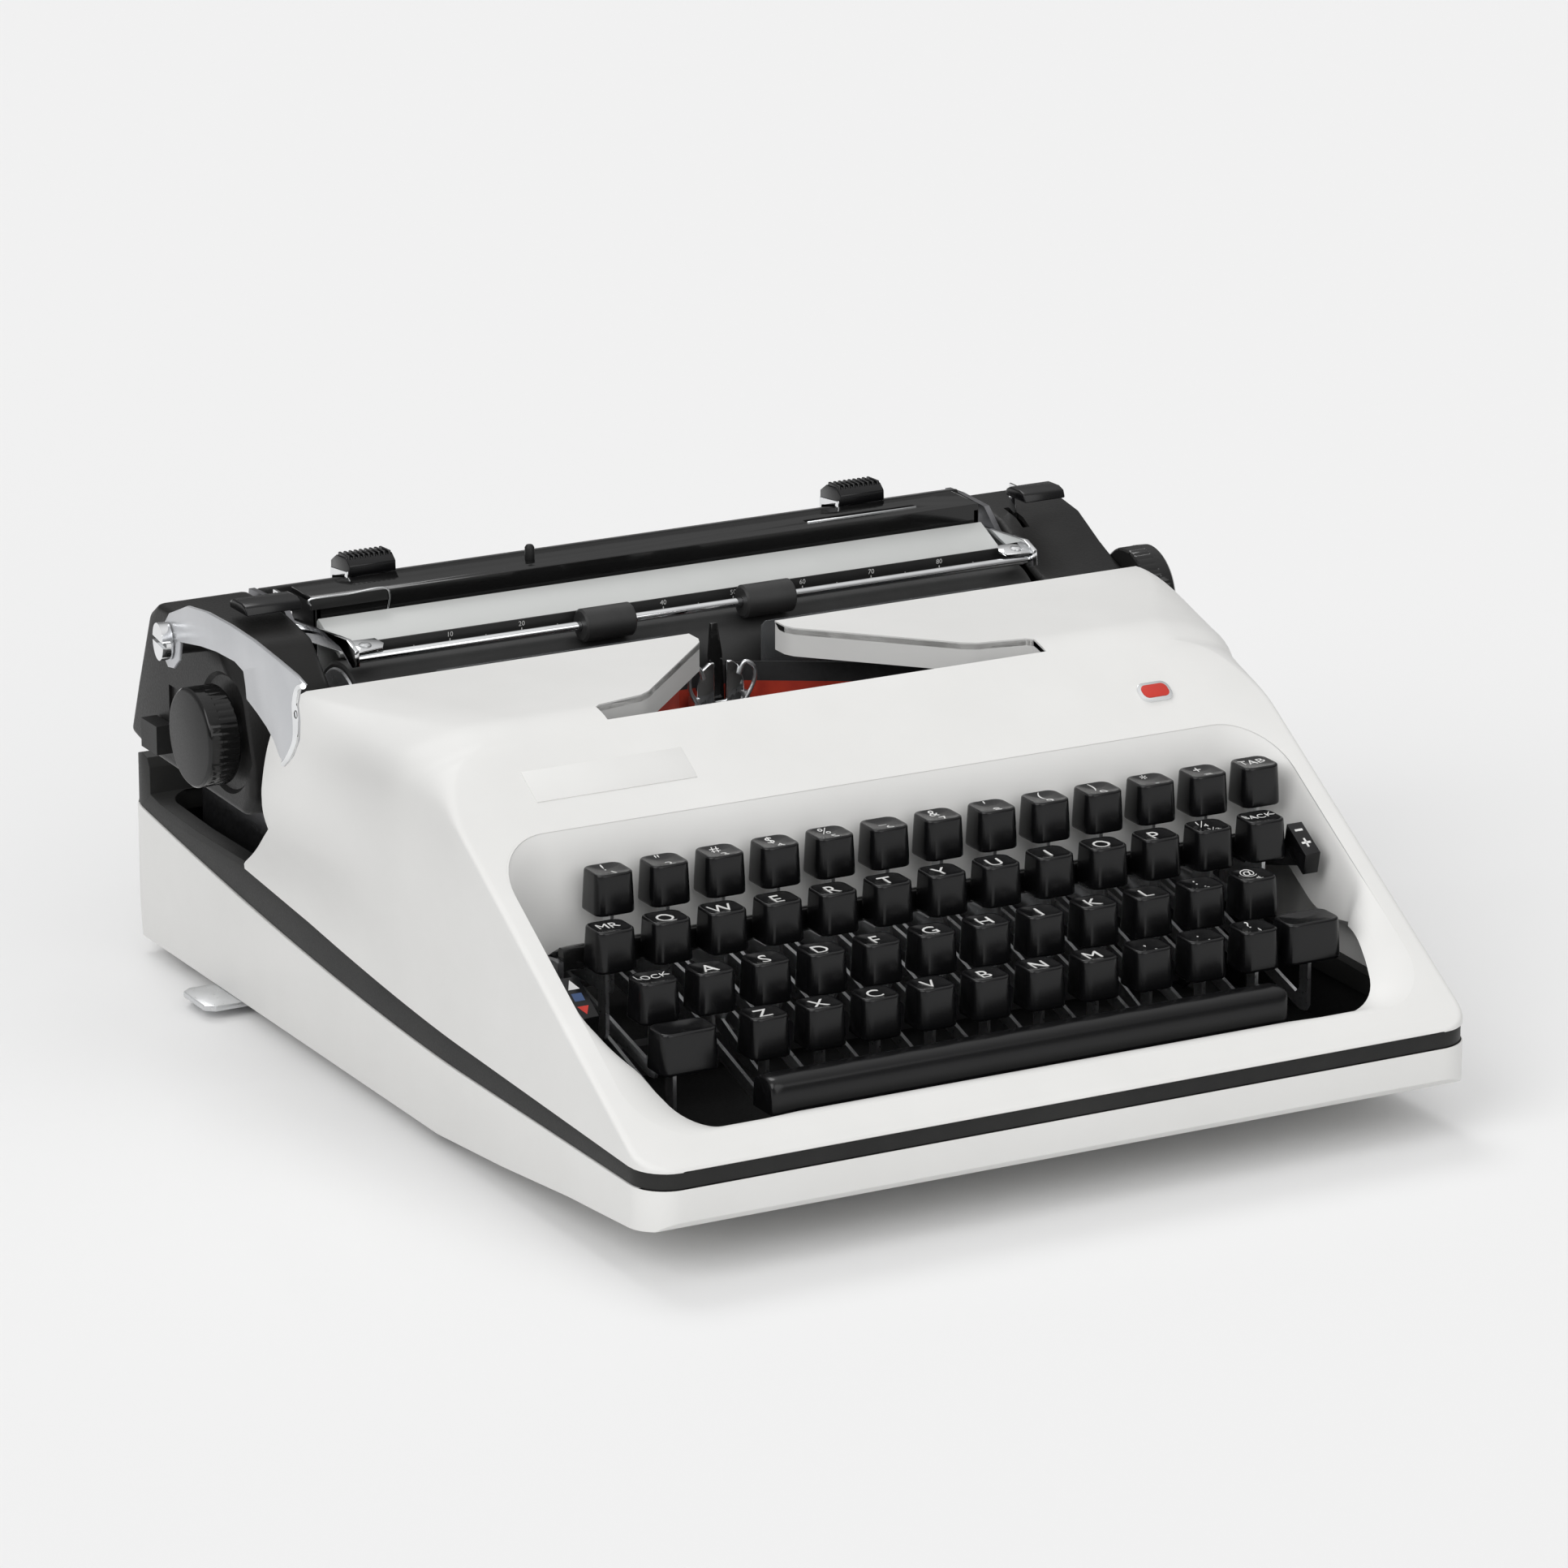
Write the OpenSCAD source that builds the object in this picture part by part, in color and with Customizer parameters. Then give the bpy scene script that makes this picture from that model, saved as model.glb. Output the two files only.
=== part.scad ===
// Portable manual typewriter: white tub and cover, black mid deck, sliding carriage.
// Millimetres. +X is the typist's right, +Y points to the back, +Z up.
// Heights start at the surface that the rubber feet stand on.

/* [Case] */
// Half of the width of the tub and the cover
case_half_w = 144; // [136:1:150]
// Length of the tub from front to back
case_len = 371; // [366:1:376]
// Wall of the plastic shells
wall = 2.5; // [2:0.1:3]
// Height of the rubber feet
foot_h = 5; // [4:0.5:6]
// Height of the flat top deck of the cover
deck_z = 127.4; // [126:0.2:128]

/* [Keyboard] */
// Distance between neighbouring keys of one row
key_pitch = 19.05; // [19:0.05:19.1]
// Width of a key cap at its foot
cap_w = 13; // [12:0.5:13.5]
// Height of a key cap
cap_h = 13; // [12:0.5:13.5]
// Thickness of a steel key lever
lever_t = 1.2; // [1:0.1:1.3]

/* [Carriage] */
// Radius of the rubber platen
platen_r = 17; // [16:0.5:17]
// Length of the rubber platen
platen_len = 246; // [240:2:246]
// Radius of the two platen knobs
knob_r = 16; // [14:0.5:16]
// Half of the width over the carriage end covers
end_half_w = 163; // [160:1:164]

/* [Hidden] */
$fn = 48;

// The return lever stands out on the left, so the whole part moves right to stay centred.
centre_shift = 10.1;
back_y = case_len / 2;
front_y = -case_len / 2;

// Seams between tub, deck and cover: a line that rises towards the back
seam_bend_y = -60;
seam_low_z = 30;
seam_rise = 21;
deck_band_front = 5;
deck_band_back = 11.5;
function seam_z(y) = seam_low_z + seam_rise * pow(max(0, y - seam_bend_y) / 244, 1.6);
function band_h(y) = let (t = min(1, max(0, (y - front_y) / 230)))
    deck_band_front + (deck_band_back - deck_band_front) * t;
seam_ys = [front_y, -120, -60, -20, 20, 60, 92];

// Key rows: left edge of the first cap, front edge and top of the caps
row_x = [-111.3, -120.3, -115.2, -106.2];
row_y = [-91.5, -110, -128.3, -145.7];
row_z = [96, 84.6, 73.1, 62.7];
cap_d = 12.4;
cap_top_w = 11.4;
row_tip_z = [57, 50, 42, 33];
fulcrum_y = 12;
fulcrum_z = 58;
fulcrum_r = 2;
hub_r = 4;
run_fit = 0.05;
lever_bend_y = -56;

// Carriage: platen axis and travel clearances
platen_y = 63.4;
platen_z = 107.4;
shaft_r = 4;
carriage_front_y = 47;
bail_rod_y = 53.4;
bail_rod_z = 128.2;
bail_pivot_y = 98;
bail_pivot_z = 127;
tab_pivot_y = 94.5;
tab_pivot_z = 100;
feed_y = 66;
feed_r = 3.2;
feed_z = platen_z - platen_r - feed_r - 0.35;
bail_roller_r = 5.4;
side_plate_x = 126;
rail_ys = [72, 112];
rail_z = 76;
rail_r = 3;
lever_pivot = [-172.5, 80, 134.6];
lever_swing_out = 8.5;

white = [0.90, 0.90, 0.88];
black = [0.09, 0.09, 0.09];
steel = [0.66, 0.67, 0.68];
chrome = [0.80, 0.81, 0.83];

// A profile drawn in the Y-Z plane, extruded along X between x0 and x1
module side(x0, x1) {
    translate([x0, 0, 0]) rotate([90, 0, 90]) linear_extrude(height = x1 - x0) children();
}

// A round bar along X
module bar_x(x0, x1, y, z, r) {
    translate([x0, y, z]) rotate([0, 90, 0]) cylinder(r = r, h = x1 - x0);
}

// Corner arc of a rounded outline
function arc(cx, cy, r, a0, a1, n = 5) =
    [for (i = [0:n]) let (a = a0 + (a1 - a0) * i / n) [cx + r * cos(a), cy + r * sin(a)]];
function rounded(x0, y0, x1, y1, r) = concat(
    arc(x1 - r, y1 - r, r, 0, 90), arc(x0 + r, y1 - r, r, 90, 180),
    arc(x0 + r, y0 + r, r, 180, 270), arc(x1 - r, y0 + r, r, 270, 360));

// Vertical block with a rounded plan, z0 to z1
module plan_block(inset, r, z0, z1) {
    translate([0, 0, z0]) linear_extrude(height = z1 - z0)
        polygon(rounded(-case_half_w + inset, front_y + inset,
            case_half_w - inset, back_y - inset, r));
}

// ---- Tub ----
ramp_y = -46;
ramp_z = foot_h + 13;
tub_profile = concat(
    [[back_y - 11, foot_h], [ramp_y, foot_h], [front_y + 8, ramp_z], [front_y, ramp_z + 5]],
    [for (y = [front_y, -120, -60, -20, 20, 60, 100, 140, back_y]) [y, seam_z(y)]]);

module lower_case() {
    color(white) difference() {
        intersection() {
            side(-case_half_w, case_half_w) polygon(tub_profile);
            plan_block(0, 12, 0, 70);
        }
        intersection() {
            side(-case_half_w + wall, case_half_w - wall) polygon([
                [back_y - 11 - wall, foot_h + wall], [ramp_y, foot_h + wall],
                [front_y + 8 + wall, ramp_z + wall], [front_y + wall, ramp_z + 5 + wall],
                [front_y + wall, 80], [back_y - wall, 80], [back_y - wall, seam_z(back_y)]]);
            plan_block(wall, 9.5, 0, 90);
        }
    }
}

// ---- Black deck between tub and cover ----
rim_z = 66;
rear_wall_y = 167;
deck_floor_z = 42;
function rim_profile(drop, grow) = concat(
    [for (y = [front_y - grow, -120, -60, -20, 20, 60, 100, 140, back_y + grow]) [y, seam_z(y) - drop]],
    [[back_y + grow, rim_z], [rear_wall_y, rim_z + 3], [rear_wall_y, 56], [93, 53]],
    [for (i = [len(seam_ys) - 1:-1:0]) let (y = seam_ys[i] - (i == 0 ? grow : 0))
        [y, seam_z(y) + band_h(y)]]);

module mid_deck() {
    color(black) {
        difference() {
            intersection() {
                side(-case_half_w, case_half_w) polygon(rim_profile(0, 1));
                plan_block(0, 12, 20, 80);
            }
            translate([-case_half_w + 6, front_y + 4, 0])
                cube([2 * case_half_w - 12, rear_wall_y - front_y - 4, 100]);
        }
        difference() {
            translate([-case_half_w + 5.5, 84, deck_floor_z])
                cube([2 * case_half_w - 11, rear_wall_y - 83.5, 2]);
            for (s = [-1, 1]) translate([s * (side_plate_x + 1) - 1.5, 60, 30]) cube([3, 104, 30]);
            translate([-115, 100, 30]) cube([60, 50, 30]);
        }
    }
}

foot_x = 130;
feet_y = [-38, 150];
module rubber_feet() {
    color(black) for (x = [-foot_x, foot_x], y = feet_y)
        translate([x, y, 0]) cylinder(r = 9, h = foot_h);
}

module latch_tongue() {
    color(chrome) translate([-case_half_w - 12, 100, foot_h - 2])
        cube([42, 16, 2]);
}

// ---- Frame inside ----
guide_bar_y = -97.1;
module frame_plate(x) {
    side(x, x + 2) difference() {
        polygon([[-62, 22], [-40, foot_h + wall], [160, foot_h + wall], [160, 62], [124, 80.5],
            [60, 80.5], [54, 70], [6, 70], [6, 92], [-22, 92], [-22, 68], [-62, 68],
            [guide_bar_y + 3.5, 73], [guide_bar_y, 73], [guide_bar_y, 67], [-62, 58]]);
        translate([fulcrum_y, fulcrum_z]) circle(r = fulcrum_r + run_fit);
        translate(selector_pivot) circle(r = 1.5 + run_fit);
        for (y = rail_ys) translate([y, rail_z]) circle(r = rail_r + run_fit);
    }
}
selector_pivot = [-54, 56];
spool_x = 86;
spool_y = -8;
ribbon_z = 98;
ribbon_h = 13;
spool_wound_r = 17;
drum_at = [-85, 130, 56];
module chassis_frame() {
    color(steel) {
        for (s = [-1, 1]) {
            translate([s * 96 - 30, -20, 90]) cube([60, 24, 2]);
            translate([s * spool_x, spool_y, 92]) {
                cylinder(r = 2.95, h = 25);
                cylinder(r = 6, h = 3.7);
            }
        }
        translate([drum_at[0] - 4, 141, 9]) cube([8, 3, 60]);
        translate([drum_at[0], 141, drum_at[2]]) rotate([90, 0, 0]) cylinder(r = 2.5, h = 19);
        translate([-side_plate_x, 138, 9]) cube([2 * side_plate_x, 6, 10]);
        for (s = [-1, 1]) frame_plate(s * (side_plate_x + 1) - 1);
        for (y = [-38]) translate([-side_plate_x, y, 9])
            cube([2 * side_plate_x, 6, 10]);
        translate([-side_plate_x, 158, 48]) cube([2 * side_plate_x, 2, 14]);
    }
}

// Bar between the side plates that the rear key levers pass under
module key_guide_bar() {
    color(black) side(-side_plate_x, side_plate_x) translate([guide_bar_y, 69.5])
        polygon([[0, 0], [3.5, 0], [3.5, 6.8], [2.8, 7.5], [0.7, 7.5], [0, 6.8]]);
}

module carriage_rails() {
    color(steel) for (y = rail_ys)
        bar_x(-side_plate_x - 2, side_plate_x + 2, y, rail_z, rail_r);
}

module lever_fulcrum() {
    color(steel) bar_x(-side_plate_x - 2, side_plate_x + 2, fulcrum_y, fulcrum_z, fulcrum_r);
}

// ---- Printing point ----
guide_w = 18;
pin_x = 19;
pin_y = 22;
module type_guide() {
    color(chrome) {
        side(-guide_w / 2, guide_w / 2) polygon([[38, 63], [40, 63], [40, 100], [42.5, 113],
            [40.5, 113], [38, 101]]);
        for (s = [-1, 1]) translate([s * 9 - 1, 38, 63]) cube([2, 4.5, 40]);
        translate([-30, 18, 60]) cube([60, 26, 3]);
        for (s = [-1, 1]) {
            translate([s * 29 - 1, 30, 19]) cube([2, 14, 41]);
            translate([s * pin_x, pin_y, 62]) cylinder(r = 2, h = 10.2);
        }
        translate([-side_plate_x, 34, 14]) cube([2 * side_plate_x, 8, 5]);
    }
}

holder_in = 17;
holder_out = 100;
module card_holders() {
    color([0.25, 0.26, 0.27]) for (s = [-1, 1]) {
        translate([s * (holder_in + holder_out) / 2 - (holder_out - holder_in) / 2, 43, 104])
            cube([holder_out - holder_in, 0.8, 20]);
        translate([s * 21 - 3, 43, 63]) cube([6, 0.8, 41]);
    }
}

module ribbon() {
    run = [spool_x - 8.5 - 12, 45 - 6.7];
    color("firebrick") {
        translate([-12, 44.9, ribbon_z]) cube([24, 0.4, ribbon_h]);
        for (s = [0, 1]) mirror([s, 0, 0]) translate([12, 44.9, ribbon_z])
            rotate([0, 0, -atan2(run[1], run[0])]) cube([norm(run) - 1, 0.4, ribbon_h]);
    }
}

module bell() {
    color(steel) translate([100, 120, 25]) {
        difference() {
            sphere(r = 14);
            sphere(r = 12.5);
            translate([-20, -20, -40]) cube([40, 40, 40]);
        }
        translate([0, 0, -17.5]) cylinder(r = 2, h = 30.6);
    }
}

// ---- Cover ----
cover_front_y = front_y;
slope_top = [-53, 114];
slope_foot = [-176, 40];
cover_back_y = 31.5;
wing_back_y = 37.5;
wing_half_w = end_half_w;
// Side view of the cover above its lower edge
function cover_top(inset) = [[cover_front_y + inset, 37 - inset], slope_foot + [inset, -inset],
    slope_top + [inset * 0.6, -inset], [-44, 122] + [inset * 0.4, -inset],
    [-36, deck_z - inset], [cover_back_y - (inset > 0 ? 1.5 : 0), deck_z - inset]];
function cover_low(inset) = [for (i = [len(seam_ys) - 1:-1:0])
    let (y = seam_ys[i] + (i == 0 ? inset : 0)) [y, seam_z(y) + band_h(y) + 0.4 - (inset > 0 ? 3 : 0)]];
function cover_profile(inset) = concat(cover_top(inset),
    [[cover_back_y, 92], [43, 80.5], [92, 53.6]], cover_low(inset));

keyhole = rounded(-133.5, -172.5, 133.5, -71.5, 12);
keyhole_rim = rounded(-135.5, -174.5, 135.5, -69.5, 14);
type_opening = [[15, 60], [15, 26], [55, -18], [78, -24.5], [78, -36.5],
    [-78, -36.5], [-78, -24.5], [-55, -18], [-15, 26], [-15, 60]];

module top_cover() {
    color(white) {
        difference() {
            intersection() {
                union() {
                    side(-case_half_w, case_half_w) polygon(cover_profile(0));
                    intersection() {
                        side(-wing_half_w, wing_half_w)
                            polygon([[-30, 72], [-30, 122], [10, deck_z], [33, deck_z],
                                [wing_back_y, 92.4], [43, 80.5], [20, 80.5]]);
                        translate([0, 0, 60]) linear_extrude(height = 80)
                            polygon([[-case_half_w, -30], [case_half_w, -30],
                                [wing_half_w, 25], [wing_half_w, 45],
                                [case_half_w - 3, 45], [case_half_w - 3, cover_back_y],
                                [3 - case_half_w, cover_back_y], [3 - case_half_w, 45],
                                [-wing_half_w, 45], [-wing_half_w, 25]]);
                    }
                }
                plan_cover();
            }
            side(wall - case_half_w, case_half_w - wall) polygon(cover_inside());
            translate([0, 0, 10]) linear_extrude(height = 130) polygon(keyhole);
            translate([0, 0, 100]) linear_extrude(height = 40) polygon(type_opening);
        }
        intersection() {
            translate([0, 0, 10]) linear_extrude(height = 130) difference() {
                polygon(keyhole_rim);
                polygon(keyhole);
            }
            side(-150, 150) polygon([slope_foot + [2, -3], [-85, 91.5], [-85, 78.5],
                [-140, 44], slope_foot + [2, -5]]);
        }
    }
}
// Plan outline of the cover with its two wings at the back
module plan_cover() {
    translate([0, 0, 20]) linear_extrude(height = 120) polygon(concat(
        arc(12 - case_half_w, front_y + 12, 12, 180, 270), arc(case_half_w - 12, front_y + 12, 12, 270, 360),
        [[case_half_w, -30], [wing_half_w, 25], [wing_half_w, 46],
         [case_half_w, 46], [case_half_w, 110], [-case_half_w, 110],
         [-case_half_w, 46], [-wing_half_w, 46],
         [-wing_half_w, 25], [-case_half_w, -30]]));
}
function cover_inside() = [[front_y + wall, 10], [front_y + wall, 36], slope_foot + [2, -2.6],
    slope_top + [1.6, -2.8], [-42.5, 120.2], [-35, deck_z - wall],
    [cover_back_y - 3, deck_z - wall], [cover_back_y - 3, 112], [120, 112], [120, 10]];

module cover_badge() {
    slope = atan2(slope_top[1] - slope_foot[1], slope_top[0] - slope_foot[0]);
    color("firebrick") translate([106, slope_top[0], slope_top[1]]) rotate([slope, 0, 0])
        translate([-5.5, -8.8, 0]) cube([11, 8, 0.8]);
}

module color_selector() {
    color(black) {
        translate([-131.5, -119, 55]) rotate([31, 0, 0]) cube([8, 18, 9]);
        side(-130, -128.8) polygon([[-114, 58], [-100, 68], [-51, 60], [-51, 52], [-100, 60]]);
        bar_x(-129.4, -125, selector_pivot[0], selector_pivot[1], 1.5);
    }
}
module touch_control() {
    color(black) {
        translate([124.6, -116, 65]) rotate([31, 0, 0]) cube([6, 15, 8]);
        side(128.8, 130) polygon([[-112, 62], [-100, 74], [-51, 60], [-51, 52], [-100, 64]]);
        bar_x(125, 129.4, selector_pivot[0], selector_pivot[1], 1.5);
    }
}

// ---- Ribbon spools ----
module spool(x) {
    color("dimgray") translate([x, spool_y, ribbon_z - 2]) difference() {
        union() {
            cylinder(r = 23, h = 1.2);
            cylinder(r = spool_wound_r - 0.6, h = ribbon_h + 3);
            translate([0, 0, ribbon_h + 2.6]) cylinder(r = 23, h = 1.2);
        }
        translate([0, 0, -1]) cylinder(r = 3, h = 30);
    }
}
module ribbon_spool_left() { spool(-spool_x); }
module ribbon_spool_right() { spool(spool_x); }

// ---- Type basket ----
basket_y = 27;
segment_z = 71;
bar_count = 44;
fan = 150;
module type_segment() {
    color(steel) translate([0, basket_y, segment_z]) difference() {
        cylinder(r = 25, h = 8);
        translate([0, 0, -1]) cylinder(r = 14, h = 10);
        translate([-30, 2, -1]) cube([60, 30, 10]);
        for (s = [-1, 1]) translate([s * pin_x, pin_y - basket_y, -1])
            cylinder(r = 2 + run_fit, h = 10);
    }
}
module typebars() {
    color(chrome) for (i = [0:bar_count - 1]) {
        a = -fan / 2 + fan * i / (bar_count - 1);
        translate([0, basket_y, segment_z + 8]) rotate([0, 0, a]) {
            translate([-0.4, -70, 0]) cube([0.8, 54, 4]);
            translate([-1.1, -73, 0]) cube([2.2, 5, 7]);
        }
    }
}

module mainspring_drum() {
    color(steel) translate(drum_at) rotate([90, 0, 0]) difference() {
        cylinder(r = 15, h = 11, center = true);
        cylinder(r = 2.55, h = 20, center = true);
    }
}

// ---- Carriage ----
carriage_plate_z = 82;
module carriage_plate_end(x) {
    side(x, x + 2) difference() {
        polygon([[51, carriage_plate_z + 1], [122, carriage_plate_z + 1], [122, 112], [118, 136],
            [109, 136.5], [92, 136], [70, 118], [51, 112]]);
        translate([platen_y, platen_z]) circle(r = shaft_r + run_fit);
        translate([bail_pivot_y, bail_pivot_z]) circle(r = 2 + run_fit);
        translate([tab_pivot_y, tab_pivot_z]) circle(r = 1.5 + run_fit);
        translate([feed_y, feed_z]) circle(r = 1.5 + run_fit);
    }
}
module carriage_frame() {
    color(steel) {
        translate([-131, 56, carriage_plate_z - 1]) cube([262, 66, 2]);
        for (s = [-1, 1]) carriage_plate_end(s * 128 - 1);
        difference() {
            for (x = [-16, 16], y = rail_ys) translate([x - 6, y - 6, rail_z - 5])
                cube([12, 12, 10.5]);
            for (y = rail_ys) bar_x(-40, 40, y, rail_z, rail_r + 0.1);
        }
    }
}

end_top = 137;
function end_profile(i) = [[51 + i, 83 + i], [122 - i, 84.6 + i], [138 - i, 88 + i], [131 - i, 107],
    [121 - i, 132 - i / 2], [114 - i / 2, end_top - i], [84, end_top - i], [66, 134 - i],
    [52 + i, 121 - i], [carriage_front_y + i, 105], [44 + i, 97], [44.5 + i, 90]];
function end_profile_right(i) = [[51 + i, 83 + i], [122 - i, 84.6 + i], [138 - i, 88 + i],
    [131 - i, 107], [121 - i, 130 - i / 2], [112 - i / 2, 134.5 - i], [90, 131 - i], [76, 124 - i],
    [64, 119 - i], [52 + i, 116 - i], [carriage_front_y + i, 105], [44 + i, 97], [44.5 + i, 90]];
module lever_frame() { translate(lever_pivot) rotate([0, 0, -lever_swing_out]) children(); }
module end_shell(outline, cavity) {
    difference() {
        side(-end_half_w, -131) polygon(outline);
        side(3 - end_half_w, -130) polygon(cavity);
        bar_x(-170, -120, platen_y, platen_z, shaft_r + 0.6);
    }
}
module carriage_end_left() {
    color(black) {
        end_shell(end_profile(0), end_profile(2));
        lever_frame() difference() {
            bar_x(0.4, 12, 0, 0, 4.5);
            bar_x(-1, 8, 0, 0, 2.5);
        }
    }
}
module carriage_end_right() {
    color(black) difference() {
        mirror([1, 0, 0]) end_shell(end_profile_right(0), end_profile_right(2.5));
        translate([138.2, 85.5, 100]) cube([2.6, 13, 60]);
    }
}

module rear_rail() {
    color(black) side(-127, 127) polygon([[109, 129], [117, 129], [117, 136], [109, 138]]);
}
module margin_stop(x) {
    color(chrome) side(x - 8.5, x + 8.5) polygon([[106, 127], [108.4, 127], [108.4, 138.7],
        [117.6, 136.6], [117.6, 128.6], [109, 128.4], [109, 127.4], [119, 127.4], [119, 139],
        [116, 143], [108, 144], [106, 141]]);
}
module margin_stop_left() { margin_stop(-91.3); }
module margin_stop_right() { margin_stop(88); }

module paper_table() {
    color([0.78, 0.79, 0.78]) side(-121, 121) polygon([[67, 126.2], [83.5, 133.6], [84.5, 132.4],
        [84.5, 110], [83.6, 103], [82.4, 103.2], [83, 111], [83, 131.2], [68, 124.6]]);
}
module paper_support() {
    color(black) difference() {
        union() {
            side(-121, 121) polygon([[85, 122], [87, 122], [87, 137.5], [103, 137.5],
                [103, 139.5], [85, 139.5]]);
            for (s = [-1, 1]) side(s * 120 - 1, s * 120 + 1)
                polygon([[85, 83], [103, 83], [103, 138], [85, 138]]);
        }
        translate([60, 90, 130]) cube([40, 6, 20]);
    }
}

module platen() {
    color(black) {
        bar_x(-platen_len / 2, platen_len / 2, platen_y, platen_z, platen_r);
        bar_x(-164.5, 164.5, platen_y, platen_z, shaft_r);
    }
}
module knob(x0) {
    bar_x(x0, x0 + 11, platen_y, platen_z, knob_r);
}
module platen_knob_left() { color(black) knob(-175.5); }
module platen_knob_right() { color(black) knob(164.5); }

module ratchet_wheel() {
    color(steel) difference() {
        side(-139, -136) polygon([for (i = [0:47]) let (r = i % 2 == 0 ? 12.2 : 11, a = i * 7.5)
            [platen_y + r * cos(a), platen_z + r * sin(a)]]);
        bar_x(-150, -120, platen_y, platen_z, shaft_r);
    }
}
module feed_rollers() {
    color(black) {
        bar_x(-128.5, 128.5, feed_y, feed_z, 1.5);
        for (x = [-90, -32, 32, 90]) bar_x(x - 15, x + 15, feed_y, feed_z, feed_r);
    }
}

// Lever blade in its own plane: u points to the back, v up, origin at the screw
blade = [[5, 5], [0, 9], [-8, 12], [-21, 17], [-43, 21], [-69, 24], [-94, 26], [-119, 27],
    [-139, 27.6], [-148, 27], [-141, 23.5], [-138, 18], [-139.5, 13], [-138.5, 7], [-132, 0.2],
    [-125.5, -4.3], [-120.5, -3.2], [-114.5, 0.2], [-107, 2.3], [-97.5, 3.8], [-86, 5],
    [-85, 9], [-83, 13], [-73.5, 13.5], [-53, 11], [-35, 7.8], [-11.2, 2.6], [-9.5, -4],
    [-4, -8], [2.7, -9.4], [6, -8], [7.4, 0]];
module return_lever() {
    color(chrome) lever_frame() difference() {
        side(-1.4, 0) polygon(blade);
        bar_x(-5, 5, 0, 0, 2.5 + run_fit);
    }
}
module lever_screw() {
    color(chrome) lever_frame() {
        difference() {
            bar_x(-5.2, -1.8, 0, 0, 6);
            translate([-6, -7, -0.7]) cube([2, 14, 1.4]);
        }
        bar_x(-1.8, 8, 0, 0, 2.5);
    }
}

bail_half = 122;
module paper_bail() {
    color(chrome) {
        bar_x(-bail_half, bail_half, bail_rod_y, bail_rod_z, 1.6);
        translate([-bail_half, bail_rod_y + 5.8, bail_rod_z - 2]) cube([2 * bail_half, 1, 5]);
        for (s = [-1, 1]) side(s * (bail_half + 0.8) - 0.8, s * (bail_half + 0.8) + 0.8)
            polygon([[50.5, 126], [54, 125], [60, 129], [96, 124], [101, 124], [101, 130],
                [96, 130.5], [58, 134], [50.5, 132]]);
        for (s = [-1, 1]) bar_x(s * 126 - 3, s * 126 + 3, bail_pivot_y, bail_pivot_z, 2);
    }
}
module bail_rollers() {
    color(black) for (x = [-34, 24]) difference() {
        bar_x(x - 9, x + 9, bail_rod_y, bail_rod_z, bail_roller_r);
        bar_x(x - 20, x + 20, bail_rod_y, bail_rod_z, 1.6 + run_fit);
    }
}

// A tab over the end cover on a flat steel stem that swings on a pin in the end plate
module tab_lever(x0, x1, stem_x, pin_x0, pin_x1) {
    translate([x0, 76, 139.6]) cube([x1 - x0, 13, 3.8]);
    side(stem_x - 0.4, stem_x + 0.4) polygon([[84, 139.6], [84, 141.6], [96.5, 141.6],
        [96.5, 97.5], [92.5, 97.5], [92.5, 139.6]]);
    bar_x(pin_x0, pin_x1, tab_pivot_y, tab_pivot_z, 1.5);
}
module paper_release() {
    color(black) tab_lever(133.5, 149, 139.5, 127.5, 139.9);
}
module platen_release() {
    color(black) tab_lever(-149, -129.6, -130, -130.4, -127.5);
}

module line_space_lever() {
    color(black) difference() {
        union() {
            bar_x(-164.1, -163.4, platen_y, platen_z, 9);
            side(-164.1, -163.4) polygon([[66, 100], [104, 90], [104, 99], [66, 111]]);
            translate([-169, 103, 90]) cube([5.6, 12, 9.5]);
        }
        bar_x(-180, -150, platen_y, platen_z, shaft_r + run_fit);
    }
}

// ---- Keys ----
// One cap: front left corner of its top at x, y, z
module cap(x, y, z, w = cap_w) {
    t = (cap_w - cap_top_w) / 2;
    intersection() {
        side(x, x + w) polygon([[y - 0.4, z - cap_h], [y + 0.4, z], [y + cap_d - 1.4, z],
            [y + cap_d, z - cap_h]]);
        translate([x, y + 20, 0]) rotate([90, 0, 0]) linear_extrude(height = 40)
            polygon([[0, z - cap_h], [w, z - cap_h], [w - t, z + 1], [t, z + 1]]);
    }
}
// Flat steel lever from the fulcrum to a stem under the cap
module lever(x, y, cap_z, tip_z, t = lever_t) {
    yc = y + cap_d / 2;
    top = cap_z - cap_h;
    difference() {
        union() {
            side(x - t / 2, x + t / 2) polygon([[yc - 2.5, tip_z], [yc - 2.5, top + 0.5],
                [yc + 2.5, top + 0.5], [yc + 2.5, tip_z + 5], [lever_bend_y, fulcrum_z + 2.5],
                [fulcrum_y, fulcrum_z + 3], [fulcrum_y, fulcrum_z - 3],
                [lever_bend_y, fulcrum_z - 2.5], [yc + 2, tip_z - 1]]);
            bar_x(x - t / 2, x + t / 2, fulcrum_y, fulcrum_z, hub_r);
        }
        bar_x(x - 5, x + 5, fulcrum_y, fulcrum_z, fulcrum_r + run_fit);
    }
}
function key_x(row, i) = row_x[row] + i * key_pitch;
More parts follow.
